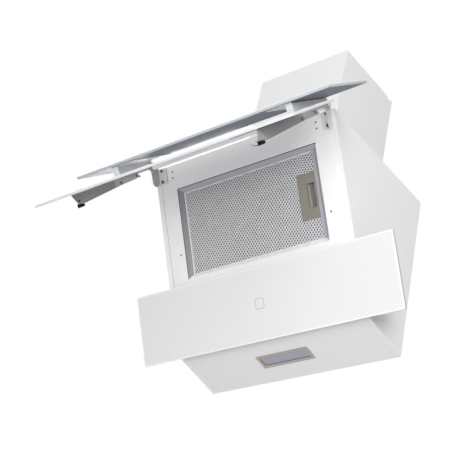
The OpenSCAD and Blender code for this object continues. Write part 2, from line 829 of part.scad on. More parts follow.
module door_cross_tube() {
    end = ear_x - bracket_t - 1.5;
    r = 2;
    color("white") on_door() difference() {
        across([-end, end]) translate([0, -cross_w / 2]) rounded_rect(cross_w, cross_w, r);
        across([-end - 1, end + 1]) translate([-cross_w / 2 + cross_t, -cross_w / 2 + cross_t])
            square(cross_w - 2 * cross_t);
    }
}
// Fixed hinge bracket: a foot screwed to the front and an ear that carries the pin. The ear
// stands out from the front by a different amount on each side
module hinge_bracket(side, out) {
    r = (out - 3) / 2;
    end = [ear_end - r, out - r];
    color("whitesmoke") on_slope() on_side(side) difference() {
        union() {
            across([ear_x - bracket_t, ear_x]) union() {
                translate([hinge_s, hinge_n]) circle(r = ear_r);
                polygon([[hinge_s - ear_r, hinge_n], [hinge_s - 5, 1], [0, 0.05],
                    [end[0] - 5, 0.05], [end[0], end[1] - r], [end[0], out], [13, out + 0.5],
                    [hinge_s + 3, hinge_n + 8.45]]);
                translate(end) circle(r = r);
            }
            slab([base_x, ear_x], [0.5, hinge_foot_s - 4], [0.05, bracket_t]);
            slab([base_x + 4, ear_x - bracket_t], [0.5, hinge_foot_s], [0.05, bracket_t]);
            post(base_x + 4, hinge_foot_s - 4, [0.05, bracket_t], 4);
        }
        bar([ear_x - 3, ear_x + 1], hinge_s, hinge_n, pin_r + pin_gap);
        for (s = hinge_screw_s) {
            post(hinge_screw_x, s, [-1, 5], hinge_hole_r);
        }
    }
}
module hinge_bracket_left() {
    hinge_bracket(-1, ear_out[0]);
}
module hinge_bracket_right() {
    hinge_bracket(1, ear_out[1]);
}
// Each pin plugs into the cross tube, runs in the ear and is headed outside the arm
module hinge_pins() {
    color("silver") on_door() {
        for (side = [-1, 1]) {
            on_side(side) union() {
                bar([ear_x - 24, ear_x - bracket_t - 1.2], 0, 0, cross_w / 2 - cross_t - 0.02);
                bar([ear_x - bracket_t - 2, arm_x + bracket_t + 0.5], 0, 0, pin_r);
                bar([arm_x + bracket_t + 0.05, arm_x + bracket_t + 2.2], 0, 0, pin_r + 2);
            }
        }
    }
}
module hinge_washers() {
    color("ivory") on_door() {
        for (side = [-1, 1]) {
            on_side(side) difference() {
                bar([ear_x + 0.1, arm_x - 0.05], 0, 0, washer_r);
                bar([ear_x - 1, arm_x + 1], 0, 0, pin_r + 0.02);
            }
        }
    }
}
module pan_screw(head_r, head_h, r, l) {
    difference() {
        union() {
            cylinder(r = head_r, h = head_h * 0.6);
            translate([0, 0, head_h * 0.6]) cylinder(r1 = head_r, r2 = head_r * 0.7, h = head_h * 0.4);
            translate([0, 0, -l]) cylinder(r = r, h = l + 0.1);
        }
        for (a = [0, 90]) {
            rotate(a) translate([-head_r * 0.6, -0.35, head_h - 0.9]) cube([head_r * 1.2, 0.7, 2]);
        }
    }
}
module hinge_screws() {
    color("silver") on_slope() {
        for (side = [-1, 1], s = hinge_screw_s) {
            translate([side * hinge_screw_x, -s, bracket_t])
                pan_screw(3.6, 2, hinge_hole_r - seat, 3.2);
        }
    }
}
module door_screws() {
    color("silver") on_door() {
        for (side = [-1, 1], i = [0, 1]) {
            on_side(side) translate([arm_x, -door_screw_u[i], door_screw_v[i]])
                rotate([0, -90, 0]) pan_screw(3, 1.8, door_screw_r, (1 + i) * bracket_t + 2);
            on_side(side) difference() {
                bar([arm_x + (1 + i) * bracket_t, arm_x + (1 + i) * bracket_t + 2],
                    door_screw_u[i], door_screw_v[i], 2.8);
                bar([arm_x, arm_x + 8], door_screw_u[i], door_screw_v[i], door_screw_r);
            }
        }
    }
}
// Magnetic catch on a stud under the nose of each arm; its foot meets the front squarely
module door_catch(side) {
    color([0.06, 0.06, 0.06]) on_door() on_side(side) union() {
        across(catch_x) polygon([
            [catch_u[0], closed_v(catch_u[0], catch_gap)],
            [catch_u[1], closed_v(catch_u[1], catch_gap)],
            [catch_u[1], lip_v(catch_u[1]) - 0.05],
            [catch_u[0], lip_v(catch_u[0]) - 0.05]]);
        translate([(catch_x[0] + catch_x[1]) / 2, -catch_u_mid, lip_v(catch_u_mid) - 3])
            cylinder(r = stud_r, h = stud_top - lip_v(catch_u_mid) + 3);
    }
}
module catch_left() {
    door_catch(-1);
}
module catch_right() {
    door_catch(1);
}

// A block over the lamp, set in from the bezel's outline by the same amount on every side
module lamp_block(in, z) {
    translate([-lamp_w / 2 + in, lamp_k + in, z[0]])
        cube([lamp_w - 2 * in, lamp_d - 2 * in, z[1] - z[0]]);
}
module lamp_bezel() {
    wall = lamp_cut + lamp_fit;
    color([0.71, 0.67, 0.64]) on_under() difference() {
        union() {
            lamp_block(0, [-bezel_t, 0]);
            lamp_block(wall, [-seat, lamp_h]);
        }
        lamp_block(bezel_w, [-5, lamp_h + 1]);
        lamp_block(wall + lamp_wall, [lens_z - seat, lamp_h + 1]);
    }
}
module lamp_lens() {
    wall = lamp_cut + lamp_fit + lamp_wall;
    color([0.8, 0.8, 0.86]) on_under() {
        lamp_block(bezel_w + seat, [-0.4, lens_z]);
        lamp_block(wall + seat, [lens_z, lens_z + lens_t]);
    }
}
module lamp_board() {
    wall = lamp_cut + lamp_fit + lamp_wall;
    color("seagreen") on_under() {
        lamp_block(wall + 2 * seat, [lamp_board_z, lamp_board_z + 1.5]);
        for (i = [-3:3]) {
            translate([i * led_pitch - led_w / 2, lamp_k + lamp_d / 2 - led_w / 2, lamp_board_z - led_h])
                cube([led_w, led_w, led_h]);
        }
    }
}

// Scroll outline: four quarter arcs, each wider than the last, and the outlet rising from them
module scroll_shape(wall) {
    for (i = [0:3]) {
        translate(arc_centres[i]) intersection() {
            circle(r = scroll_r + i * scroll_step - wall);
            rotate(90 * i) translate([-scroll_step, -scroll_step]) square(2 * scroll_r);
        }
    }
    translate([scroll_r + 4 * scroll_step - outlet_w + wall, 0])
        square([outlet_w - 2 * wall, outlet_h + 2 * wall]);
}
module scroll_half(side) {
    left = scroll_r + 4 * scroll_step - outlet_w;
    color([0.25, 0.26, 0.28]) on_fan() on_side(side) difference() {
        union() {
            difference() {
                along_x([0, scroll_w / 2]) scroll_shape(0);
                translate([-1, -2 * scroll_r, outlet_h]) cube([scroll_w, 4 * scroll_r, 50]);
            }
            translate([0, left - scroll_foot, outlet_h - scroll_foot_t])
                cube([scroll_w / 2 + scroll_foot, outlet_w + 2 * scroll_foot, scroll_foot_t]);
            for (i = [0:2]) {
                rotate([lug_angles[i], 0, 0])
                    translate([0, scroll_r + (i - 1) * scroll_step, -lug[2] / 2]) cube(lug);
            }
        }
        along_x([-1, scroll_w / 2 - scroll_t]) scroll_shape(scroll_t);
        axle([0, scroll_w], inlet_r);
        for (i = [0:2]) {
            rotate([lug_angles[i], 0, 0]) translate([-1, scroll_r + (i + 1) * scroll_step + 5, 0])
                rotate([0, 90, 0]) cylinder(r = 1.6, h = 8);
        }
    }
}
module scroll_left() {
    scroll_half(-1);
}
module scroll_right() {
    scroll_half(1);
}
// One blade, curved forward, cut to the blade ring
module blade() {
    arc = blade_d * 0.9;
    intersection() {
        difference() {
            circle(fan_r - 0.2);
            circle(fan_r - blade_d);
        }
        translate([fan_r - blade_d / 2, -arc * 0.8]) difference() {
            circle(arc + blade_t / 2);
            circle(arc - blade_t / 2);
        }
        translate([fan_r - 1.6 * blade_d, -arc * 0.8]) square([2.2 * blade_d, 2 * arc]);
    }
}
module impeller() {
    color([0.2, 0.21, 0.22]) on_fan() difference() {
        union() {
            along_x([-fan_w / 2 + 0.5, fan_w / 2 - 0.5]) for (i = [0:blades - 1]) {
                rotate(i * 360 / blades) blade();
            }
            axle([-hub_t / 2, hub_t / 2], fan_r);
            axle([-4, 14], 11);
            for (x = [-fan_w / 2, fan_w / 2 - 2]) {
                difference() {
                    axle([x, x + 2], fan_r + 0.6);
                    axle([x - 1, x + 3], fan_r - blade_d + 0.6);
                }
            }
        }
        axle([-10, 20], shaft_r + 0.01);
    }
}
module motor_shaft() {
    color("silver") on_fan() axle([-scroll_w / 2 + 22, 16], shaft_r);
}
module motor() {
    x0 = -scroll_w / 2;
    color([0.6, 0.6, 0.62]) on_fan() difference() {
        translate([x0, 0, 0]) rotate([0, 90, 0]) rotate_extrude() polygon([
            [0, 0], [motor_r - 9, 0], [motor_r - 2, 5], [motor_r, 12], [motor_r, motor_len - 18],
            [motor_r - 3, motor_len - 10], [14, motor_len - 4], [11, motor_len], [0, motor_len]]);
        axle([x0 + 20, x0 + motor_len + 1], shaft_r + pin_gap);
    }
}
module motor_bracket() {
    color("silver") on_fan() along_x([-scroll_w / 2 - motor_plate, -scroll_w / 2]) {
        circle(r = motor_r - 12);
        difference() {
            circle(r = inlet_r + 9);
            circle(r = inlet_r + 2);
        }
        for (a = [90, 210, 330]) {
            rotate(a) translate([0, -5]) square([inlet_r + 5, 10]);
        }
    }
}

module duct_collar() {
    bore = collar_r - collar_t;
    color([0.2, 0.21, 0.22]) from_wall() translate([0, -chimney_d / 2, body_h]) difference() {
        union() {
            cylinder(r = collar_r + collar_flange, h = collar_base);
            cylinder(r = collar_r, h = collar_h);
        }
        translate([0, 0, -1]) cylinder(r = bore - ledge, h = collar_h + 2);
        translate([0, 0, ledge_h]) cylinder(r = bore, h = collar_h);
        translate([0, 0, collar_base]) difference() {
            cylinder(r = bore, h = collar_h);
            translate([-collar_r, spine_y, -1]) cube([2 * collar_r, collar_r, collar_h]);
            translate([-collar_r, -spine_y - collar_r, -1]) cube([2 * collar_r, collar_r, collar_h]);
        }
        for (y = [-pivot_y, pivot_y]) {
            translate([-collar_r - 1, y, flap_z - body_h]) rotate([0, 90, 0])
                cylinder(r = pivot_r + pin_gap, h = 2 * collar_r + 2);
        }
    }
}
// A damper flap is half a disc on a barrel whose ends pivot in the collar
module damper(side) {
    reach = collar_r - collar_t - 1.2;
    color([0.12, 0.12, 0.13]) from_wall() translate([0, -chimney_d / 2, flap_z])
        mirror([0, side < 0 ? 1 : 0, 0]) union() {
            translate([0, 0, -flap_t / 2]) linear_extrude(flap_t) intersection() {
                circle(r = reach);
                translate([-collar_r, pivot_y]) square(2 * collar_r);
            }
            translate([-reach + 3, pivot_y, 0]) rotate([0, 90, 0])
                cylinder(r = pivot_r + 0.7, h = 2 * reach - 6);
            translate([-collar_r + 0.4, pivot_y, 0]) rotate([0, 90, 0])
                cylinder(r = pivot_r, h = 2 * collar_r - 0.8);
        }
}
module damper_front() {
    damper(-1);
}
module damper_rear() {
    damper(1);
}

// A block over the control box, set in from its outline by the same amount on every side
module box_block(in, y) {
    translate([box_x[0] + in, y[0], box_z[0] + in])
        cube([box_x[1] - box_x[0] - 2 * in, y[1] - y[0], box_z[1] - box_z[0] - 2 * in]);
}
module control_box() {
    front = -sheet_t - box_d;
    color([0.85, 0.85, 0.85]) from_wall() difference() {
        box_block(0, [front, -sheet_t]);
        box_block(box_wall, [front - 1, -sheet_t - box_wall]);
    }
}
module control_lid() {
    front = -sheet_t - box_d;
    rim = box_wall + 0.3;
    color([0.85, 0.85, 0.85]) from_wall() {
        box_block(-1, [front - 2, front]);
        difference() {
            box_block(rim, [front, front + 4]);
            box_block(rim + 1.5, [front - 1, front + 5]);
        }
    }
}
// Circuit board on four posts, with a transformer, a relay and four terminals
module on_board(at, size) {
    translate([box_x[0] + at[0], -sheet_t - board_depth + 1 - size[1], box_z[0] + at[1]]) cube(size);
}
module control_board() {
    color("seagreen") from_wall() union() {
        box_block(board_gap, [-sheet_t - board_depth, -sheet_t - board_depth + board_t]);
        for (x = [box_x[0] + board_post, box_x[1] - board_post],
            z = [box_z[0] + board_post, box_z[1] - board_post]) {
            translate([x, -sheet_t - box_wall, z]) rotate([90, 0, 0])
                cylinder(r = 3, h = board_depth - 3);
        }
        on_board(transformer_at, transformer);
        on_board(relay_at, relay);
        for (i = [0:3]) {
            on_board(terminal_at + [i * terminal_pitch, 0], terminal);
        }
    }
}
// Capacitor of the motor, with the clamp that holds it to the back panel
module motor_capacitor() {
    r = capacitor_r;
    color("lightgray") from_wall()
        translate([capacitor_at[0], -sheet_t - r - clamp_t, capacitor_at[1]]) {
            difference() {
                union() {
                    cylinder(r = r, h = capacitor_h);
                    translate([0, 0, capacitor_h]) cylinder(r = r - 4, h = 3);
                }
                translate([0, 0, capacitor_h + 1]) cylinder(r = 3, h = 5);
            }
            translate([0, 0, clamp_z]) difference() {
                union() {
                    cylinder(r = r + clamp_t, h = clamp_h);
                    translate([-clamp_w / 2, r, 0]) cube([clamp_w, clamp_t, clamp_h]);
                }
                translate([0, 0, -1]) cylinder(r = r + 0.05, h = clamp_h + 2);
            }
        }
}
module cable_gland() {
    color([0.1, 0.1, 0.1]) from_wall() translate([gland_x, gland_y, body_h]) difference() {
        union() {
            cylinder(r = gland_nut_r, h = 5, $fn = 6);
            translate([0, 0, 5]) cylinder(r = gland_r + 1, h = 4);
            translate([0, 0, -8]) cylinder(r = gland_r, h = 9);
            translate([0, 0, -6]) cylinder(r = gland_nut_r, h = 4.8, $fn = 6);
        }
        translate([0, 0, -10]) cylinder(r = gland_bore_r, h = 24);
    }
}

side_panel_left();
side_panel_right();
front_frame();
bottom_panel();
top_panel();
back_panel();
chimney_lower();
chimney_upper();
chimney_strap();
filter_frame();
filter_mesh();
latch_housing();
latch_slider();
lower_glass();
lower_glass_pads();
touch_holder();
touch_board();
upper_glass();
middle_glass();
door_arm_left();
door_arm_right();
arm_wedge_left();
arm_wedge_right();
upper_bracket_left();
upper_bracket_right();
door_cross_tube();
hinge_bracket_left();
hinge_bracket_right();
hinge_pins();
hinge_washers();
hinge_screws();
door_screws();
catch_left();
catch_right();
lamp_bezel();
lamp_lens();
lamp_board();
scroll_left();
scroll_right();
impeller();
motor_shaft();
motor();
motor_bracket();
duct_collar();
damper_front();
damper_rear();
control_box();
control_lid();
control_board();
motor_capacitor();
cable_gland();
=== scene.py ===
import json
import math

import bmesh
import bpy
from mathutils import Matrix, Vector


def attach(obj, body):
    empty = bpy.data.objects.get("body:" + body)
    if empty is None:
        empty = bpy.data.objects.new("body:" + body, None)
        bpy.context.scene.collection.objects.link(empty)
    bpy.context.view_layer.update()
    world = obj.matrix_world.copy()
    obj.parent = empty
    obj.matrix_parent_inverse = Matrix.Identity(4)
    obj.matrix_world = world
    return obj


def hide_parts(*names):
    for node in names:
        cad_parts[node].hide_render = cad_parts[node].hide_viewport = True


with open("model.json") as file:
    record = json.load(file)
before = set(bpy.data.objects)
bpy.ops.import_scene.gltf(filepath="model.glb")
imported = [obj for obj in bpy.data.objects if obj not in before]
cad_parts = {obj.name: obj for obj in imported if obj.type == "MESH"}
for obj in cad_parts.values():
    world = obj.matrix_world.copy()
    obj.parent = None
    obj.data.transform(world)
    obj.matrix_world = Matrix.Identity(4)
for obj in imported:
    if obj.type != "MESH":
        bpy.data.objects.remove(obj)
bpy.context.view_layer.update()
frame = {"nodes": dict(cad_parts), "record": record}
nodes = frame["nodes"]
print("stage: frame loaded,", len(nodes), "nodes")

mm = 0.001
body = {"hang": 180.0, "topDepth": 300.0, "height": 344.0, "lowDepth": 118.0, "rise": 20.0}
door = {"angle": 69.7, "pivotDown": -5.0, "pivotOut": 15.0,
        "upperTilt": 6.0, "upperStart": -9.0, "upperLift": 12.6}
slopeAngle = math.atan2(body["topDepth"] - body["lowDepth"], body["height"] - body["rise"])
underAngle = math.atan2(body["rise"], body["lowDepth"])
doorAngle = math.radians(door["angle"])
upperTilt = math.radians(door["upperTilt"])


# A matrix from millimetres along three directions at an origin to metres in the row frame
def localFrame(origin, xDir, yDir, zDir):
    m = Matrix.Identity(4)
    for i, v in enumerate((xDir, yDir, zDir)):
        for j in range(3):
            m[j][i] = v[j] * mm
    for j in range(3):
        m[j][3] = origin[j] * mm
    return m


xDir = Vector((1, 0, 0))
downDir = Vector((0, math.sin(slopeAngle), -math.cos(slopeAngle)))
outDir = Vector((0, -math.cos(slopeAngle), -math.sin(slopeAngle)))
slopeOrigin = Vector((0, -body["topDepth"], body["height"] - body["hang"]))
onSlope = localFrame(slopeOrigin, xDir, downDir, outDir)
pivot = slopeOrigin + door["pivotDown"] * downDir + door["pivotOut"] * outDir
armDir = math.cos(doorAngle) * downDir + math.sin(doorAngle) * outDir
liftDir = -math.sin(doorAngle) * downDir + math.cos(doorAngle) * outDir
onDoor = localFrame(pivot, xDir, armDir, liftDir)
upperOrigin = pivot + door["upperStart"] * armDir + door["upperLift"] * liftDir
upperArm = math.cos(upperTilt) * armDir + math.sin(upperTilt) * liftDir
upperLift = -math.sin(upperTilt) * armDir + math.cos(upperTilt) * liftDir
onUpper = localFrame(upperOrigin, xDir, upperArm, upperLift)
underOrigin = Vector((0, -body["lowDepth"], body["rise"] - body["hang"]))
backDir = Vector((0, math.cos(underAngle), -math.sin(underAngle)))
inDir = Vector((0, math.sin(underAngle), math.cos(underAngle)))
onUnder = localFrame(underOrigin, xDir, backDir, inDir)


# A node group with named inputs and one output, and the nodes it starts from
def newGroup(name, inputs, outName, outKind):
    group = bpy.data.node_groups.new(name, "ShaderNodeTree")
    for label, kind, value in inputs:
        socket = group.interface.new_socket(name=label, in_out="INPUT", socket_type=kind)
        socket.default_value = value
    group.interface.new_socket(name=outName, in_out="OUTPUT", socket_type=outKind)
    return group, group.nodes.new("NodeGroupInput"), group.nodes.new("NodeGroupOutput")


def noiseIn(group, start, scaleName, detail):
    place = group.nodes.new("ShaderNodeTexCoord")
    noise = group.nodes.new("ShaderNodeTexNoise")
    noise.inputs["Detail"].default_value = detail
    group.links.new(place.outputs["Object"], noise.inputs["Vector"])
    group.links.new(start.outputs[scaleName], noise.inputs["Scale"])
    return noise


# Colour that drifts slowly over a surface
def makeToneDrift():
    group, start, end = newGroup("toneDrift", [
        ("Color", "NodeSocketColor", (0.8, 0.8, 0.8, 1)), ("Scale", "NodeSocketFloat", 6.0),
        ("Amount", "NodeSocketFloat", 0.03)], "Color", "NodeSocketColor")
    noise = noiseIn(group, start, "Scale", 3.0)
    centred = group.nodes.new("ShaderNodeMath")
    centred.operation = "SUBTRACT"
    centred.inputs[1].default_value = 0.5
    gain = group.nodes.new("ShaderNodeMath")
    gain.operation = "MULTIPLY_ADD"
    gain.inputs[2].default_value = 1.0
    hue = group.nodes.new("ShaderNodeHueSaturation")
    group.links.new(noise.outputs["Fac"], centred.inputs[0])
    group.links.new(centred.outputs["Value"], gain.inputs[0])
    group.links.new(start.outputs["Amount"], gain.inputs[1])
    group.links.new(gain.outputs["Value"], hue.inputs["Value"])
    group.links.new(start.outputs["Color"], hue.inputs["Color"])
    group.links.new(hue.outputs["Color"], end.inputs["Color"])
    return group


# Roughness that varies between two values
def makePatchyRoughness():
    group, start, end = newGroup("patchyRoughness", [
        ("Scale", "NodeSocketFloat", 20.0), ("Low", "NodeSocketFloat", 0.3),
        ("High", "NodeSocketFloat", 0.4)], "Roughness", "NodeSocketFloat")
    noise = noiseIn(group, start, "Scale", 4.0)
    spread = group.nodes.new("ShaderNodeMapRange")
    spread.inputs["From Min"].default_value = 0.35
    spread.inputs["From Max"].default_value = 0.65
    group.links.new(noise.outputs["Fac"], spread.inputs["Value"])
    group.links.new(start.outputs["Low"], spread.inputs["To Min"])
    group.links.new(start.outputs["High"], spread.inputs["To Max"])
    group.links.new(spread.outputs["Result"], end.inputs["Roughness"])
    return group


# Fine relief: orange peel on paint, grain on moulded plastic, rolling marks on metal
def makeFineRelief():
    group, start, end = newGroup("fineRelief", [
        ("Scale", "NodeSocketFloat", 600.0), ("Strength", "NodeSocketFloat", 0.1),
        ("Depth", "NodeSocketFloat", 0.0002)], "Normal", "NodeSocketVector")
    noise = noiseIn(group, start, "Scale", 2.0)
    bump = group.nodes.new("ShaderNodeBump")
    group.links.new(noise.outputs["Fac"], bump.inputs["Height"])
    group.links.new(start.outputs["Strength"], bump.inputs["Strength"])
    group.links.new(start.outputs["Depth"], bump.inputs["Distance"])
    group.links.new(bump.outputs["Normal"], end.inputs["Normal"])
    return group


shared = {"tone": makeToneDrift(), "rough": makePatchyRoughness(), "relief": makeFineRelief()}


def addGroup(tree, group, values):
    node = tree.nodes.new("ShaderNodeGroup")
    node.node_tree = group
    for label, value in values.items():
        node.inputs[label].default_value = value
    return node


finish = {"coatRoughness": 0.05, "patchScale": 4}


# A paint, plastic, metal or glass with drifting tone, patchy roughness and fine relief
def newMaterial(name, color, rough, metal=0.0, coat=0.0, drift=(5, 0.03), relief=(500, 0.05),
                spread=0.05, gloss=0.5):
    mat = bpy.data.materials.new(name)
    mat.use_nodes = True
    tree = mat.node_tree
    shader = tree.nodes["Principled BSDF"]
    shader.inputs["Metallic"].default_value = metal
    shader.inputs["Coat Weight"].default_value = coat
    shader.inputs["Coat Roughness"].default_value = finish["coatRoughness"]
    shader.inputs["Specular IOR Level"].default_value = gloss
    tone = addGroup(tree, shared["tone"], {"Color": (*color, 1), "Scale": drift[0], "Amount": drift[1]})
    patchy = addGroup(tree, shared["rough"], {
        "Scale": drift[0] * finish["patchScale"], "Low": rough - spread, "High": rough + spread})
    grain = addGroup(tree, shared["relief"], {"Scale": relief[0], "Strength": relief[1]})
    tree.links.new(tone.outputs["Color"], shader.inputs["Base Color"])
    tree.links.new(patchy.outputs["Roughness"], shader.inputs["Roughness"])
    tree.links.new(grain.outputs["Normal"], shader.inputs["Normal"])
    return mat


looks = {
    "body_paint": newMaterial("bodyPaint", (0.94, 0.94, 0.945), 0.4, relief=(450, 0.05)),
    "arm_paint": newMaterial("armPaint", (0.8, 0.8, 0.81), 0.36, relief=(450, 0.05)),
    "white_glass": newMaterial("whiteGlass", (0.83, 0.83, 0.84), 0.05, relief=(3, 0.0), spread=0.02),
    "filter_metal": newMaterial("filterMetal", (0.75, 0.75, 0.77), 0.3, 0.85,
                                drift=(90, 0.3), relief=(300, 0.1)),
    "latch_plastic": newMaterial("latchPlastic", (0.25, 0.237, 0.2), 0.5, relief=(1500, 0.15)),
    "black_plastic": newMaterial("blackPlastic", (0.006, 0.006, 0.007), 0.5,
                                 relief=(1500, 0.2), gloss=0.12),
    "dark_plastic": newMaterial("darkPlastic", (0.05, 0.05, 0.055), 0.45, relief=(1200, 0.2)),
    "white_plastic": newMaterial("whitePlastic", (0.72, 0.72, 0.7), 0.4, relief=(1200, 0.1)),
    "grey_foam": newMaterial("greyFoam", (0.1, 0.1, 0.1), 0.85, relief=(900, 0.6)),
    "satin_metal": newMaterial("satinMetal", (0.46, 0.41, 0.37), 0.35, 0.5, relief=(800, 0.1)),
    "frosted_lens": newMaterial("frostedLens", (0.42, 0.42, 0.5), 0.4, relief=(700, 0.3), gloss=0.3),
    "circuit_board": newMaterial("circuitBoard", (0.02, 0.13, 0.05), 0.4, drift=(90, 0.3)),
    "zinc_steel": newMaterial("zincSteel", (0.55, 0.56, 0.57), 0.32, 1.0, drift=(40, 0.15)),
    "motor_metal": newMaterial("motorMetal", (0.45, 0.46, 0.47), 0.42, 1.0, drift=(30, 0.1)),
    "glassEdge": newMaterial("glassEdge", (0.5, 0.545, 0.55), 0.3, relief=(900, 0.05), gloss=0.2),
    "glassPale": newMaterial("glassPale", (0.74, 0.77, 0.79), 0.3, relief=(900, 0.05), gloss=0.2),
    "glassRim": newMaterial("glassRim", (0.92, 0.93, 0.93), 0.05, relief=(3, 0.0), spread=0.02),
    "glassBack": newMaterial("glassBack", (0.235, 0.24, 0.3), 0.5, relief=(60, 0.02), gloss=0.12),
    "printGrey": newMaterial("printGrey", (0.3, 0.3, 0.32), 0.3),
    # Two liner greys, darker and paler, set to measured tones: partly the liner's own grey, partly painted
    # shade
    "linerGreyAndShade": newMaterial("linerGreyAndShade", (0.25, 0.25, 0.26), 0.4, 0.2,
                              drift=(25, 0.12), relief=(250, 0.08)),
    "linerPaleGreyAndShade": newMaterial("linerPaleGreyAndShade", (0.42, 0.42, 0.46), 0.4, 0.1,
                             drift=(25, 0.12), relief=(250, 0.08)),
    # Near-white: the recess's bottom wall, and a painted highlight on the filter's rolled bead
    "rimBright": newMaterial("rimBright", (0.96, 0.96, 0.96), 0.3, 0.05, relief=(300, 0.05)),
    # Darker greys for the wedges and arms and a near-white for the cross tube, set to measured tones:
    # partly their own colour, partly painted shade on the wedges and arms and painted light on the tube
    "wedgeGreyAndShade": newMaterial("wedgeGreyAndShade", (0.42, 0.415, 0.41), 0.4, 0.1,
                              drift=(18, 0.35), relief=(450, 0.06)),
    "armGreyAndShade": newMaterial("armGreyAndShade", (0.6, 0.6, 0.61), 0.35, 0.1,
                            drift=(14, 0.12), relief=(450, 0.06)),
    "tubeWhiteAndLight": newMaterial("tubeWhiteAndLight", (0.97, 0.97, 0.97), 0.22, 0.1, 0.5, relief=(450, 0.03)),
    "screwSteel": newMaterial("screwSteel", (0.2, 0.2, 0.2), 0.28, 0.8, drift=(120, 0.4)),
    "screwRecessPaintedShade": newMaterial("screwRecessPaintedShade", (0.02, 0.02, 0.02), 0.5),
    "latchShade": newMaterial("latchShade", (0.12, 0.11, 0.095), 0.6, relief=(1500, 0.15)),
    # Near-black for grooves, seams, hole walls, the bezel's inner wall and thin lines: painted shade and
    # painted shadow
    "gapPaintedShade": newMaterial("gapPaintedShade", (0.03, 0.03, 0.032), 0.7),
    "meshBright": newMaterial("meshBright", (0.76, 0.76, 0.78), 0.45, 0.25,
                              drift=(90, 0.3), relief=(300, 0.1)),
    # Dark grey for the mesh sheets behind the front one: painted shade
    "meshPaintedShade": newMaterial("meshPaintedShade", (0.16, 0.16, 0.17), 0.5, 0.3,
                            drift=(90, 0.3), relief=(300, 0.1)),
}


# Paints shade into a material's colour: past an X position in metres it fades into a second colour over a
# short fade
def paintShadePast(mat, position, color, fade=mm):
    tree = mat.node_tree
    shader = tree.nodes["Principled BSDF"]
    link = shader.inputs["Base Color"].links[0]
    place = tree.nodes.new("ShaderNodeTexCoord")
    axes = tree.nodes.new("ShaderNodeSeparateXYZ")
    ramp = tree.nodes.new("ShaderNodeMapRange")
    ramp.inputs["From Min"].default_value = position
    ramp.inputs["From Max"].default_value = position - fade
    mix = tree.nodes.new("ShaderNodeMix")
    mix.data_type = "RGBA"
    mix.inputs["B"].default_value = (*color, 1)
    tree.links.new(place.outputs["Object"], axes.inputs["Vector"])
    tree.links.new(axes.outputs["X"], ramp.inputs["Value"])
    tree.links.new(ramp.outputs["Result"], mix.inputs["Factor"])
    tree.links.new(link.from_socket, mix.inputs["A"])
    tree.links.new(mix.outputs["Result"], shader.inputs["Base Color"])
    return mat


# The left hinge ear, past x = -0.2062 m, is painted dark grey: painted shade, not the bracket's own colour
earPaintedShade = {"from": -0.2062, "color": (0.42, 0.42, 0.43)}
looks["footPaintAndEarShade"] = paintShadePast(newMaterial("footPaintAndEarShade", (0.78, 0.78, 0.79), 0.36, relief=(450, 0.05)),
                               earPaintedShade["from"], earPaintedShade["color"])
# The wedges, arms and cross tube take those tones in place of the arm paint: partly painted shade and
# painted light
ownLooks = {"wedgeGreyAndShade": ["arm_wedge_left", "arm_wedge_right"], "tubeWhiteAndLight": ["door_cross_tube"],
            "armGreyAndShade": ["door_arm_left", "door_arm_right"], "footPaintAndEarShade": ["hinge_bracket_left"],
            "screwSteel": ["door_screws"]}
for sub in frame["record"]["subparts"]:
    node = nodes[sub["node"]]
    node.data.materials.clear()
    node.data.materials.append(looks[sub["material_slot"]])
for look, names in ownLooks.items():
    for n in names:
        nodes[n].data.materials[0] = looks[look]

rounding = {"weld": 0.005, "segments": 2, "sharpest": 38}


# Rounds the sharp edges of a CAD node by a bevel in metres
def soften(obj, width):
    weld = obj.modifiers.new("weld", "WELD")
    weld.merge_threshold = rounding["weld"] * mm
    bevel = obj.modifiers.new("bevel", "BEVEL")
    bevel.width = width
    bevel.segments = rounding["segments"]
    bevel.limit_method = "ANGLE"
    bevel.angle_limit = math.radians(rounding["sharpest"])
    bevel.use_clamp_overlap = True
    bevel.harden_normals = True


edgeRounds = {
    0.4: ["side_panel_left", "side_panel_right", "bottom_panel", "top_panel",
          "chimney_lower", "chimney_upper", "chimney_strap"],
    0.5: ["door_arm_left", "door_arm_right", "arm_wedge_left", "arm_wedge_right", "upper_bracket_left",
          "upper_bracket_right", "hinge_bracket_left", "hinge_bracket_right", "control_lid", "control_box"],
}
for width, names in edgeRounds.items():
    for n in names:
        soften(nodes[n], width * mm)


# The closed outline of a rounded rectangle in millimetres
def roundedRect(cx, cy, w, h, r, steps=5):
    points = []
    for i, (sx, sy) in enumerate(((1, 1), (-1, 1), (-1, -1), (1, -1))):
        x, y = cx + sx * (w / 2 - r), cy + sy * (h / 2 - r)
        for k in range(steps + 1):
            a = math.radians(90 * i + 90 * k / steps)
            points.append((x + r * math.cos(a), y + r * math.sin(a)))
    return points


smoothBelow = math.radians(35)


# Makes a piece of the scene from its mesh, and names its body, its slot and the nodes it replaces
def addPiece(name, bm, mats, bodyName, replaced=(), smooth=True):
    bmesh.ops.recalc_face_normals(bm, faces=bm.faces)
    mesh = bpy.data.meshes.new(name)
    bm.to_mesh(mesh)
    bm.free()
    for m in mats:
        mesh.materials.append(looks[m])
    if smooth:
        mesh.shade_smooth()
        mesh.set_sharp_from_angle(angle=smoothBelow)
    obj = bpy.data.objects.new(name, mesh)
    bpy.context.scene.collection.objects.link(obj)
    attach(obj, bodyName)
    if replaced:
        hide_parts(*replaced)
    return obj


# Turns an object's modifiers into its mesh
def applyModifiers(obj):
    graph = bpy.context.evaluated_depsgraph_get()
    done = bpy.data.meshes.new_from_object(obj.evaluated_get(graph))
    obj.modifiers.clear()
    obj.data = done


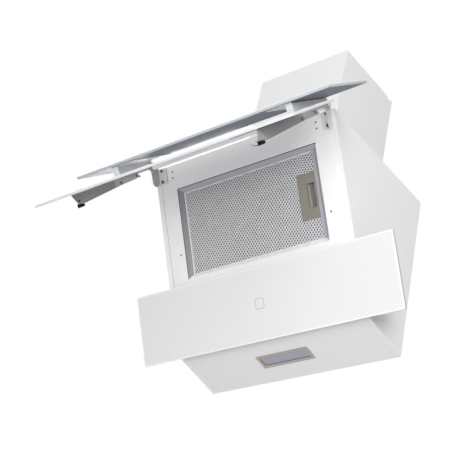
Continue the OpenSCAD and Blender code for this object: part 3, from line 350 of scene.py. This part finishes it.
# Cuts a shape away from a piece; the cut faces keep the look that they bring
def cutAway(obj, cutter, mats, selfCrossing=False):
    bmesh.ops.recalc_face_normals(cutter, faces=cutter.faces)
    mesh = bpy.data.meshes.new("cutter")
    cutter.to_mesh(mesh)
    cutter.free()
    for m in mats:
        mesh.materials.append(looks[m])
    tool = bpy.data.objects.new("cutter", mesh)
    bpy.context.scene.collection.objects.link(tool)
    cut = obj.modifiers.new("cut", "BOOLEAN")
    cut.object = tool
    cut.operation = "DIFFERENCE"
    cut.solver = "EXACT"
    cut.use_self = selfCrossing
    applyModifiers(obj)
    bpy.data.objects.remove(tool)


# Skins a stack of rings (cx, cy, w, h, r, height, material); closed joins the last to the first
def stackRings(bm, place, rings, steps=5, closed=False):
    loops = []
    for cx, cy, w, h, r, z, m in rings:
        outline = roundedRect(cx, cy, w, h, r, steps)
        loops.append([bm.verts.new(place @ Vector((*p, z))) for p in outline])
    for k in range(len(loops) if closed else len(loops) - 1):
        a, b = loops[k], loops[(k + 1) % len(loops)]
        for i in range(len(a)):
            j = (i + 1) % len(a)
            face = bm.faces.new((a[i], a[j], b[j], b[i]))
            face.material_index = rings[(k + 1) % len(loops)][6]
    if not closed:
        bm.faces.new(loops[0]).material_index = rings[0][6]
        bm.faces.new(loops[-1]).material_index = rings[-1][6]


# Turns a profile of (radius, height) round a place's own axis
def lathe(bm, place, profile, steps, m=0):
    turns = [2 * math.pi * k / steps for k in range(steps)]
    loops = []
    for r, z in profile:
        rim = [Vector((r * math.cos(a), r * math.sin(a), z)) for a in turns]
        loops.append([bm.verts.new(place @ p) for p in rim])
    for a, b in zip(loops, loops[1:]):
        for i in range(steps):
            j = (i + 1) % steps
            bm.faces.new((a[i], a[j], b[j], b[i])).material_index = m
    bm.faces.new(loops[0]).material_index = m
    bm.faces.new(loops[-1]).material_index = m


glass = {"width": 595, "corner": 2, "grind": 0.7, "grindCorner": 1.5, "border": 3.2,
         "line": 0.5, "inner": 1,
         "panes": [("lowerPane", onSlope, 242, 138.5, 2, 6, "hood", "lower_glass", "glassEdge"),
                   ("middlePane", onDoor, 120.4, 138.5, 2.3, 5, "door", "middle_glass", "glassPale"),
                   ("upperPane", onUpper, 0, 133.7, 0, 5, "door", "upper_glass", "glassEdge")]}


# A pane in its own frame: dark lavender-grey back, ground edges, clear border and white face
def glassPane(name, place, start, length, low, thick, bodyName, node, edge):
    bm = bmesh.new()
    w, g, b, corner = glass["width"], glass["grind"], glass["border"], glass["grindCorner"]
    face, inner = b + glass["line"], glass["inner"]
    cy = start + length / 2
    high = low + thick
    stackRings(bm, place, [
        (0, cy, w - 2 * g, length - 2 * g, corner, low, 0),
        (0, cy, w, length, glass["corner"], low + g, 1),
        (0, cy, w, length, glass["corner"], high - g, 1),
        (0, cy, w - 2 * g, length - 2 * g, corner, high, 2),
        (0, cy, w - 2 * b, length - 2 * b, inner, high, 2),
        (0, cy, w - 2 * face, length - 2 * face, inner, high, 3)])
    addPiece(name, bm, ["glassBack", edge, "glassRim", "white_glass"], bodyName, [node])


for pane in glass["panes"]:
    glassPane(*pane)

# The touch key is a thin printed outline on the lower pane
touch = {"size": 19.5, "line": 0.8, "corner": 3, "s": 312, "low": 7.9, "height": 8.02}


def touchOutline():
    q = touch
    bm = bmesh.new()
    stackRings(bm, onSlope, [
        (0, q["s"], q["size"] - 2 * inset, q["size"] - 2 * inset, q["corner"] - inset, z, 0)
        for inset, z in ((0, q["low"]), (0, q["height"]), (q["line"], q["height"]), (q["line"], q["low"]))],
        closed=True)
    addPiece("touchOutline", bm, ["printGrey"], "hood")


touchOutline()

# The front sheet is folded into the filter recess; a grey liner sits in it with a shadow gap. The gap's
# groove and the sheet's outer fold take a near-black look: painted shade in the groove and at the seam
front = {"half": 204.7, "start": 1.0, "end": 370.6, "corner": 1.0, "fold": 0.5, "seam": 1.1, "sheet": 1.0,
         "recessHalf": 165.0, "recessTop": 51.0, "recessEnd": 232.0, "recessCorner": 1.2,
         "gap": 1.4, "gapDepth": 3.4, "gapEdge": 0.4, "shallow": 0.12, "cover": 3.5,
         "bevel": 7.5, "bend": 0.5, "depth": 7.0, "back": 17.0, "lip": 7.0,
         "hole": 1.6, "holes": [(173.3, 13.5), (173.3, 25.3), (177.0, 180.8)],
         "screw": 1.7, "screws": [(198.5, 4.5), (198.5, 27.5)], "drill": 0.85, "flare": 0.25,
         "window": (64.0, 32.0, 0.5), "windowDepths": (-2.0, 1.0),
         "looks": ["body_paint", "linerGreyAndShade", "gapPaintedShade", "linerPaleGreyAndShade", "rimBright"]}


# The sheet's closed section: outer edge, front face, groove, liner, lip and back face
def frontRings():
    f = front
    mid = (f["recessTop"] + f["recessEnd"]) / 2
    length = f["recessEnd"] - f["recessTop"]
    middle = (f["start"] + f["end"]) / 2
    sheet, bevel, bend, gap = f["sheet"], -f["bevel"], f["bend"], f["gap"]
    groove, deep, back = -f["gapDepth"], -f["depth"], -f["back"]
    lip = bevel - f["lip"]

    def plate(inset, height, m):
        w, h = 2 * (f["half"] - inset), f["end"] - f["start"] - 2 * inset
        return (0, middle, w, h, f["corner"], height, m)

    def ring(grow, height, m):
        return (0, mid, 2 * (f["recessHalf"] + grow), length + 2 * grow, f["recessCorner"], height, m)

    return [
        plate(0, -sheet, 0), plate(0, -f["fold"], 2), plate(0.5, -0.2, 2), plate(f["seam"], 0, 0),
        ring(gap + f["gapEdge"], 0, 0), ring(gap, -f["gapEdge"], 0), ring(gap, groove, 2),
        ring(0, groove, 2), ring(0, -0.6, 1), ring(-0.3, -0.3, 1), ring(-0.8, -0.5, 1),
        ring(bevel + bend, deep + 0.2, 1), ring(bevel, deep - 0.3, 1), ring(bevel, back + bend, 1),
        ring(bevel - bend, back, 1), ring(lip, back, 1), ring(lip, back - sheet, 1),
        ring(bevel + sheet, back - sheet, 1), ring(bevel + sheet, deep - sheet, 1),
        ring(gap + 0.5, groove - sheet, 1), ring(gap + f["cover"], -sheet, 0)]


# Makes the groove shallow below and at the right, where the real one doesn't show
def levelGroove(bm, reach=2):
    f = front
    toFrame = onSlope.inverted()
    for v in bm.verts:
        q = toFrame @ v.co
        low = abs(q.y - f["recessEnd"]) < reach and abs(q.x) < f["recessHalf"] + reach
        right = (abs(q.x - f["recessHalf"]) < reach
                 and f["recessTop"] + 1 < q.y < f["recessEnd"] + reach)
        if (low or right) and -f["gapDepth"] - 0.1 < q.z < 0.05 - f["gapEdge"]:
            height = f["shallow"] * (q.z + f["gapEdge"]) - f["gapEdge"]
            v.co = onSlope @ Vector((q.x, q.y, height))


# Gives each wall of the recess its own look: the left wall keeps the darker liner grey, the top and right
# walls take the paler grey, and the bottom wall, the groove below and the groove at the right go white.
# These tones are partly the liner's own and partly painted shade
def paintWalls(bm):
    f = front
    toFrame = onSlope.inverted()
    wall = f["bevel"] + 0.2
    for face in bm.faces:
        q = toFrame @ face.calc_center_median()
        m = face.material_index
        low = q.y > f["recessEnd"] - wall and q.z > 1 - f["back"]
        right = q.x > f["recessHalf"] - wall
        top = q.y < f["recessTop"] + wall and abs(q.x) < f["recessHalf"] - f["bevel"] - 1
        if low and m in (1, 2):
            face.material_index = 4
        elif (right or top) and m == 1:
            face.material_index = 3
        elif q.x > f["recessHalf"] - 1 and m == 2:
            face.material_index = 0


def frontSheet():
    f = front
    bm = bmesh.new()
    stackRings(bm, onSlope, frontRings(), closed=True)
    bm.normal_update()
    levelGroove(bm)
    paintWalls(bm)
    obj = addPiece("frontSheet", bm, f["looks"], "hood", ["front_frame"])
    # The drilled holes' walls take the near-black look: painted shade inside the holes
    cutter = bmesh.new()
    for r, spots in ((f["hole"], f["holes"]), (f["screw"], f["screws"])):
        wide = r + f["flare"]
        for side in (-1, 1):
            for x, s in spots:
                drill = onSlope @ Matrix.Translation((side * x, s, 0))
                lathe(cutter, drill, [(r, -f["drill"]), (r, -0.2), (wide, 0.05), (wide, 0.5)], 20, 2)
    w, h, corner = f["window"]
    window = [(0, touch["s"], w, h, corner, z, 0) for z in f["windowDepths"]]
    stackRings(cutter, onSlope, window, steps=3)
    cutAway(obj, cutter, f["looks"])


frontSheet()
print("stage: front sheet folded and drilled")

# Expanded aluminium: each strand is a tilted ribbon between two diamonds, in a slightly turned lattice
# The front sheet takes the light mesh look; the two sheets behind it take the dark grey, painted shade of
# the layers behind
weave = {"across": 6.21, "down": 8.57, "tilt": 0.25, "thick": 0.4, "turn": 9.6, "merge": 0.02,
         "left": -156.0, "right": 150.2, "top": 61.0, "bottom": 222.0, "notch": (108.8, 96.8, 183.2),
         "sheets": [("meshFront", -8.5, (0, 0), "meshBright", 0.7, ["filter_mesh"]),
                    ("meshMiddle", -11.4, (1.9, 1.1), "meshPaintedShade", 0.62, []),
                    ("meshBack", -14.2, (-1.3, 2.0), "meshPaintedShade", 0.55, [])]}


def expandedSheet(name, height, shift, look, opening, replaced):
    bm = bmesh.new()
    dx, ds, tilt = weave["across"] / 2, weave["down"] / 2, weave["tilt"]
    mid = (weave["top"] + weave["bottom"]) / 2
    reach = math.hypot(weave["left"], weave["bottom"] - mid) + weave["down"]
    cols, rows = int(reach / dx), int(reach / ds)
    turn = math.radians(weave["turn"])
    corners = {}
    x0, s0, s1 = weave["notch"]

    def spot(i, j):
        x, s = i * dx, j * ds
        return (x * math.cos(turn) - s * math.sin(turn) + shift[0],
                mid + x * math.sin(turn) + s * math.cos(turn) + shift[1])

    def inside(x, s, spare):
        if not weave["left"] - spare < x < weave["right"] + spare:
            return False
        if not weave["top"] - spare < s < weave["bottom"] + spare:
            return False
        return not (x0 + spare < x and s0 + spare < s < s1 - spare)

    def clamp(x, s):
        x = max(weave["left"], min(weave["right"], x))
        s = max(weave["top"], min(weave["bottom"], s))
        if x0 < x and s0 < s < s1:
            x, s = min(((x - x0, (x0, s)), (s - s0, (x, s0)), (s1 - s, (x, s1))))[1]
        return x, s

    def corner(i, j):
        if (i, j) not in corners:
            corners[(i, j)] = bm.verts.new(onSlope @ Vector((*clamp(*spot(i, j)), height)))
        return corners[(i, j)]

    for i in range(-cols, cols + 1):
        for j in range(-rows, rows + 1):
            if (i + j) % 2 or not inside(*spot(i, j), dx):
                continue
            outer = [corner(i + 1, j), corner(i, j + 1), corner(i - 1, j), corner(i, j - 1)]
            inner = []
            for a, b, h in ((opening, 0, 0), (0, opening, tilt), (-opening, 0, 0), (0, -opening, -tilt)):
                inner.append(bm.verts.new(onSlope @ Vector((*clamp(*spot(i + a, j + b)), height + h))))
            for k in range(4):
                n = (k + 1) % 4
                bm.faces.new((outer[k], outer[n], inner[n], inner[k]))
    bmesh.ops.dissolve_degenerate(bm, dist=weave["merge"] * mm, edges=bm.edges)
    obj = addPiece(name, bm, [look], "filter", replaced, smooth=False)
    solid = obj.modifiers.new("thickness", "SOLIDIFY")
    solid.thickness = weave["thick"] * mm
    solid.offset = 0


filterRim = {"mid": 141.5, "width": 314.0, "length": 165.0, "corner": 1.5, "bead": 2.2, "side": 5.4,
             "flange": 7.0, "sheet": 1.4, "front": -7.5, "back": -17.0}


# The filter's frame: a thin rolled bead round the mesh, with a flange behind it. The bead takes the
# near-white look, a painted highlight along the rolled edge, and the right side takes the paler liner grey,
# partly painted shade
def filterFrame():
    q = filterRim
    bead, flange, high, back = q["bead"], q["flange"], q["front"], q["back"]
    ledge, round1, round2 = back + q["sheet"], high - 0.35, high - 0.9
    section = [(0, back, 0), (0, round2, 0), (0.2, round1, 1), (0.5, high, 1), (bead - 0.5, high, 1),
               (bead - 0.1, round1, 1), (bead, round2, 1), (bead, ledge, 0), (flange, ledge, 0),
               (flange, back, 0)]
    rings = []
    for inset, z, m in section:
        cut = q["side"] if inset > 0.6 else 0
        rings.append((-cut / 2, q["mid"], q["width"] - 2 * inset - cut, q["length"] - 2 * inset,
                      q["corner"] - 0.1 * inset, z, m))
    bm = bmesh.new()
    stackRings(bm, onSlope, rings, closed=True)
    toFrame = onSlope.inverted()
    for face in bm.faces:
        if (toFrame @ face.calc_center_median()).x > q["width"] / 2 - q["side"] - bead - 0.2:
            face.material_index = 2
    addPiece("filterFrame", bm, ["filter_metal", "rimBright", "linerPaleGreyAndShade"], "filter",
             ["filter_frame"])


filterFrame()
for sheet in weave["sheets"]:
    expandedSheet(*sheet)
print("stage: grease filter woven")

# The latch: a plate with a rounded finger slot, and in it a slider with a ramp, a groove and a rib
latch = {"x0": 109.0, "x1": 149.9, "s0": 97.0, "s1": 183.0, "top": -7.5, "back": -16.0, "edge": 0.5,
         "slotX": 138.3, "slotWidth": 18.0, "slotLength": 44.0, "slotCorner": 3.2, "floor": -14.5,
         "lift": 0.3, "play": 0.4, "tongueReach": 159.6, "tongue": (129.0, 151.0)}


def latchPlate():
    q = latch
    bm = bmesh.new()
    cx, cs = (q["x0"] + q["x1"]) / 2, (q["s0"] + q["s1"]) / 2
    w, h, e, top = q["x1"] - q["x0"], q["s1"] - q["s0"], q["edge"], q["top"]
    outer = [(cx, cs, w - 2 * inset, h - 2 * inset, corner, z, 0)
             for inset, corner, z in ((0, 0.8, q["back"]), (0, 0.8, top - e), (e, 0.6, top))]
    groove = ((1.3, top, 0), (0.8, top - 0.45, 1), (0.3, top, 0), (0, top - 0.5, 0), (0, q["floor"], 1))
    sw, sl, sr = q["slotWidth"], q["slotLength"], q["slotCorner"]
    slot = [(q["slotX"], cs, sw + 2 * grow, sl + 2 * grow, sr + grow, z, m) for grow, z, m in groove]
    stackRings(bm, onSlope, outer + slot, steps=6)
    addPiece("latchPlate", bm, ["latch_plastic", "latchShade"], "filter",
             ["latch_housing"])


# A bar of one outline, as (across, height), between two distances down the slope; ends are rounded
def profileBar(bm, place, outline, s0, s1, dark=(), edge=0.35):
    mx = sum(q[0] for q in outline) / len(outline)
    mz = sum(q[1] for q in outline) / len(outline)
    loops = []
    for s, shrink in ((s0, edge), (s0 + edge, 0), (s1 - edge, 0), (s1, edge)):
        drawn = [Vector((x + math.copysign(shrink, mx - x), s, z + math.copysign(shrink, mz - z)))
                 for x, z in outline]
        loops.append([bm.verts.new(place @ p) for p in drawn])
    for a, b in zip(loops, loops[1:]):
        for i in range(len(a)):
            j = (i + 1) % len(a)
            bm.faces.new((a[i], a[j], b[j], b[i])).material_index = 1 if i in dark else 0
    bm.faces.new(loops[0])
    bm.faces.new(loops[-1])


# The slider: a ramp and a rib in the slot, and the tongue that holds the filter
def latchGrip():
    q = latch
    cs = (q["s0"] + q["s1"]) / 2
    left, right = q["slotX"] - q["slotWidth"] / 2, q["slotX"] + q["slotWidth"] / 2
    low = q["floor"] + q["lift"]
    half = q["slotLength"] / 2 - q["play"]
    bm = bmesh.new()
    ramp = [(left + 0.5, low), (left + 11.4, low), (left + 9.4, low + 0.9), (left + 6.4, -9.4),
            (left + 5.4, -8.7), (left + 0.5, -8.4)]
    rib = [(right - 5.6, low), (right - 0.5, low), (right - 0.5, -10.6), (right - 1.2, -9.9),
           (right - 4.2, -9.7), (right - 5.4, -10.6)]
    for outline, dark in ((ramp, (1, 2, 3)), (rib, (5,))):
        profileBar(bm, onSlope, outline, cs - half, cs + half, dark)
    root, reach = right - 3, q["tongueReach"]
    tongue = [(root, low + 0.1), (reach, low + 0.1), (reach, low + 0.8), (reach - 3, -9.4), (root, -9.4)]
    profileBar(bm, onSlope, tongue, *q["tongue"])
    addPiece("latchGrip", bm, ["latch_plastic", "latchShade"], "latch",
             ["latch_slider"])


latchPlate()
latchGrip()

# The lamp: a satin bezel with a rolled edge round a frosted, slightly crowned lens; the bezel's inner wall
# round the lens is near-black, painted shade
lamp = {"centre": 62.5, "width": 118.0, "depth": 33.0, "border": 7.0, "proud": 1.2, "inner": 8.9,
        "lens": -0.4, "crown": 0.35}


def lampPieces():
    q = lamp
    w, d, c, b, low = q["width"], q["depth"], q["centre"], q["border"], -q["proud"]

    def ring(inset, corner, z, m=0):
        return (0, c, w - 2 * inset, d - 2 * inset, corner, z, m)

    bm = bmesh.new()
    stackRings(bm, onUnder, [
        ring(3.2, 1.0, q["inner"]), ring(3.2, 1.0, 0.02), ring(0, 1.6, 0.02), ring(0, 1.6, low + 0.5),
        ring(0.2, 1.5, low + 0.12), ring(0.6, 1.2, low), ring(b - 0.8, 1.2, low),
        ring(b - 0.3, 1.0, low + 0.3), ring(b, 0.8, low + 0.9, 1), ring(b, 0.8, 1.5, 1),
        ring(5, 1.0, 1.5), ring(5, 1.0, q["inner"])], closed=True)
    addPiece("lampBezel", bm, ["satin_metal", "gapPaintedShade"], "hood", ["lamp_bezel"])
    bm = bmesh.new()
    rings = [ring(5.1, 1.0, 3.0), ring(5.1, 1.0, 1.6), ring(b + 0.3, 0.8, 1.6),
             ring(b + 0.3, 0.8, q["lens"] + 0.4)]
    for k in range(1, 6):
        crown = q["crown"] * math.sin(k * math.pi / 10)
        rings.append(ring(b + 0.5 + 1.5 * k, 0.8, q["lens"] + 0.3 - crown))
    stackRings(bm, onUnder, rings)
    addPiece("lampLens", bm, ["frosted_lens"], "hood", ["lamp_lens"])


lampPieces()
print("stage: latch and lamp built")

# Pan-head cross screws of the hinge feet; the cross recesses are near-black, painted shade
screws = {"radius": 3.6, "foot": 1.6, "height": 2.0, "cross": 0.42, "reach": 1.9, "sink": 1.1,
          "spare": 0.01, "firstTurn": 0.5, "nextTurn": 0.9}


def hingeScrews():
    q = screws
    r, low, high = q["radius"], q["foot"], q["foot"] + q["height"]
    profile = [(1.5, -1.6), (1.6, low), (r, low), (r, low + 0.5), (r * 0.94, low + 1.1),
               (r * 0.78, high - 0.35), (r * 0.5, high - 0.08), (r * 0.2, high)]
    bm = bmesh.new()
    cutter = bmesh.new()
    for k, (x, s) in enumerate([(side * a, b) for side in (-1, 1) for a, b in front["screws"]]):
        turned = Matrix.Rotation(q["firstTurn"] + q["nextTurn"] * k, 4, "Z")
        place = onSlope @ Matrix.Translation((x, s, 0)) @ turned
        lathe(bm, place, profile, 28)
        # The second arm of the cross is a touch smaller, so that no two faces coincide
        for turn, share in ((0, 1), (math.pi / 2, 0.97)):
            arm = place @ Matrix.Rotation(turn, 4, "Z")
            w = q["cross"] * share
            spare = q["spare"] * turn
            stackRings(cutter, arm, [(0, 0, 2 * q["reach"], 2 * w, 0.1, z, 1)
                                     for z in (high - q["sink"] - spare, high + 0.6 + spare)])
    obj = addPiece("hingeScrews", bm, ["screwSteel", "screwRecessPaintedShade"], "hood", ["hinge_screws"])
    cutAway(obj, cutter, ["screwSteel", "screwRecessPaintedShade"], selfCrossing=True)


hingeScrews()

# A thin shadow line round each hinge foot
foot = {"x0": 187.0, "x1": 207.0, "start": 1.2, "end": 32.0, "line": 0.55, "low": 0.02, "high": 0.35,
        "corner": 3.6, "inner": 3.1, "clear": 0.05}


def footLines():
    q = foot
    w, h = q["x1"] - q["x0"], q["end"] - q["start"]
    cs = q["end"] - h / 2
    bm = bmesh.new()
    for side in (-1, 1):
        cx = side * (q["x0"] + q["x1"]) / 2
        outer, inner = (q["line"], q["corner"]), (q["clear"], q["inner"])
        stackRings(bm, onSlope, [
            (cx, cs, w + 2 * grow, h + 2 * grow, corner, z, 0)
            for (grow, corner), z in ((outer, q["low"]), (outer, q["high"]), (inner, q["high"]),
                                      (inner, q["low"]))], closed=True)
    addPiece("footLines", bm, ["gapPaintedShade"], "hood")


footLines()

# Dark beads along the glued edges of the wedges and of the upper brackets: painted shadow lines at the gaps
beads = {"thick": 1.3, "proud": 0.5, "sunk": 0.02, "corner": 0.1,
         "runs": [("wedgeBeads", onDoor, (-214.6, 216.2), (126.0, 243.0), 2.2),
                  ("bracketBeads", onUpper, (-211.4, 213.0), (15.0, 122.0), -0.1)]}


def paintedShadowBeads(name, place, faces, span, top):
    q = beads
    low = top - q["thick"]
    bm = bmesh.new()
    for x in faces:
        cx = x + q["proud"] / 2 - q["sunk"]
        stackRings(bm, place, [
            (cx, sum(span) / 2, q["proud"] - d, span[1] - span[0] - d, q["corner"], z, 0)
            for d, z in ((0.2, low), (0, low + 0.25), (0, top - 0.1), (0.1, top))])
    addPiece(name, bm, ["gapPaintedShade"], "door")


for run in beads["runs"]:
    paintedShadowBeads(*run)

# The thin tail of the right catch, bent inwards so that it clears the lower pane with the door closed
tail = {"points": [(205.8, 240.0, -22.4), (203.8, 243.3, -23.1), (200.5, 244.7, -22.4),
                   (197.6, 245.2, -20.4), (195.8, 245.2, -18.2)],
        "between": 3, "sides": 10, "radius": 0.5, "base": 0.8}


def catchTail():
    q = tail
    line = [Vector(p) for p in q["points"]]
    curve = []
    for a, b in zip(line, line[1:]):
        curve += [a.lerp(b, k / q["between"]) for k in range(q["between"])]
    curve.append(line[-1])
    turns = [2 * math.pi * k / q["sides"] for k in range(q["sides"])]
    last = len(curve) - 1
    bm = bmesh.new()
    loops = []
    for i, p in enumerate(curve):
        ahead = (curve[min(i + 1, last)] - curve[max(i - 1, 0)]).normalized()
        up = ahead.cross(xDir).normalized()
        r = q["radius"] + (q["base"] - q["radius"]) * (1 - i / last)
        loops.append([bm.verts.new(onDoor @ (p + r * (math.cos(a) * xDir + math.sin(a) * up)))
                      for a in turns])
    for a, b in zip(loops, loops[1:]):
        for i in range(q["sides"]):
            j = (i + 1) % q["sides"]
            bm.faces.new((a[i], a[j], b[j], b[i]))
    bm.faces.new(loops[0])
    bm.faces.new(loops[-1])
    addPiece("catchTail", bm, ["black_plastic"], "door")


catchTail()
print("stage: screws, paintedShadow and catch tail built")

scene = bpy.context.scene
scene.view_settings.view_transform = "Standard"

# The photograph's viewing place, in millimetres, with its focal length and centre in pixels
view = {"place": (1298.75, -1539.79, -1267.61), "right": (0.770367, 0.607592, 0.193306),
        "up": (0.233711, -0.551161, 0.801), "ahead": (-0.593224, 0.571886, 0.566597),
        "focal": 1213.37, "centre": (224.15, 226.18), "pixels": 450, "sensor": 36, "reach": 50}


def makeCamera():
    q = view
    camera = bpy.data.objects.new("camera", bpy.data.cameras.new("camera"))
    scene.collection.objects.link(camera)
    for j in range(3):
        camera.matrix_world[j][0] = q["right"][j]
        camera.matrix_world[j][1] = q["up"][j]
        camera.matrix_world[j][2] = -q["ahead"][j]
        camera.matrix_world[j][3] = q["place"][j] * mm
    camera.data.sensor_width = q["sensor"]
    camera.data.lens = q["focal"] / q["pixels"] * q["sensor"]
    camera.data.shift_x = (q["pixels"] / 2 - q["centre"][0]) / q["pixels"]
    camera.data.shift_y = (q["centre"][1] - q["pixels"] / 2) / q["pixels"]
    camera.data.clip_end = q["reach"]
    scene.camera = camera


makeCamera()

# Metres and watts
studio = {"world": 0.15, "seen": 1.0, "floorDrop": -1.6, "floorSize": 9.0, "floorTone": 0.9,
          "floorGlow": 0.8, "floorRings": 6, "floorSteps": 48, "floorSpread": 1.5, "aim": (0, -0.2, 0),
          "lamps": [("keyFrontRight", (2.3, -2.4, 0.4), 2.0, 29),
                    ("keyRightLow", (1.7, -1.6, -0.55), 0.7, 17),
                    ("fillNear", (0.25, -1.5, -0.9), 0.8, 6),
                    ("fillFrontLow", (-0.3, -2.4, -1.3), 1.5, 7),
                    ("fillLeftHigh", (-2.4, -2.0, 1.2), 1.5, 8),
                    ("fillRightHigh", (3.0, -0.8, 1.4), 1.2, 8),
                    ("fillFrontHigh", (2.0, -2.2, 1.4), 1.2, 12),
                    ("fillBack", (-2.2, 2.3, 1.4), 2.0, 50)]}


# The share of rays that see the white background: camera, glossy and transmission rays
def plainRays(tree):
    path = tree.nodes.new("ShaderNodeLightPath")
    total = path.outputs["Is Camera Ray"]
    for label in ("Is Glossy Ray", "Is Transmission Ray"):
        add = tree.nodes.new("ShaderNodeMath")
        add.operation = "ADD"
        add.use_clamp = True
        tree.links.new(total, add.inputs[0])
        tree.links.new(path.outputs[label], add.inputs[1])
        total = add.outputs["Value"]
    return total


# A weak even light, behind which camera, glossy and transmission rays see plain white
def makeWorld():
    world = bpy.data.worlds.new("studio")
    scene.world = world
    world.use_nodes = True
    tree = world.node_tree
    tree.nodes.clear()
    out = tree.nodes.new("ShaderNodeOutputWorld")
    mix = tree.nodes.new("ShaderNodeMixShader")
    tree.links.new(plainRays(tree), mix.inputs["Fac"])
    for i, strength in ((1, studio["world"]), (2, studio["seen"])):
        shade = tree.nodes.new("ShaderNodeBackground")
        shade.inputs["Color"].default_value = (1, 1, 1, 1)
        shade.inputs["Strength"].default_value = strength
        tree.links.new(shade.outputs["Background"], mix.inputs[i])
    tree.links.new(mix.outputs["Shader"], out.inputs["Surface"])


makeWorld()


# A round floor of quads, far below the wall-hung hood
def makeFloor():
    q = studio
    turns = [2 * math.pi * k / q["floorSteps"] for k in range(q["floorSteps"])]
    bm = bmesh.new()
    loops = []
    for r in range(1, q["floorRings"] + 1):
        reach = q["floorSize"] * (r / q["floorRings"]) ** q["floorSpread"]
        rim = [(reach * math.cos(a), reach * math.sin(a), q["floorDrop"]) for a in turns]
        loops.append([bm.verts.new(p) for p in rim])
    bm.faces.new(loops[0])
    for a, b in zip(loops, loops[1:]):
        for k in range(len(turns)):
            n = (k + 1) % len(turns)
            bm.faces.new((a[k], b[k], b[n], a[n]))
    mesh = bpy.data.meshes.new("floor")
    bm.to_mesh(mesh)
    bm.free()
    floor = bpy.data.objects.new("floor", mesh)
    scene.collection.objects.link(floor)
    tone = q["floorTone"]
    paint = newMaterial("floorPaint", (tone, tone, tone), 0.8, drift=(0.6, 0.01), gloss=0.1)
    tree = paint.node_tree
    glow = tree.nodes.new("ShaderNodeEmission")
    mix = tree.nodes.new("ShaderNodeMixShader")
    share = tree.nodes.new("ShaderNodeMath")
    share.operation = "MULTIPLY"
    share.inputs[1].default_value = q["floorGlow"]
    tree.links.new(plainRays(tree), share.inputs[0])
    tree.links.new(share.outputs["Value"], mix.inputs["Fac"])
    tree.links.new(tree.nodes["Principled BSDF"].outputs["BSDF"], mix.inputs[1])
    tree.links.new(glow.outputs["Emission"], mix.inputs[2])
    tree.links.new(mix.outputs["Shader"], tree.nodes["Material Output"].inputs["Surface"])
    mesh.materials.append(paint)


makeFloor()


# A square soft box that points at the hood
def softBox(name, place, size, power):
    light = bpy.data.lights.new(name, "AREA")
    light.shape = "RECTANGLE"
    light.size, light.size_y = size, size
    light.energy = power
    obj = bpy.data.objects.new(name, light)
    scene.collection.objects.link(obj)
    obj.location = place
    obj.rotation_euler = (Vector(studio["aim"]) - Vector(place)).to_track_quat("-Z", "Y").to_euler()


for box in studio["lamps"]:
    softBox(*box)
print("stage: studio built")
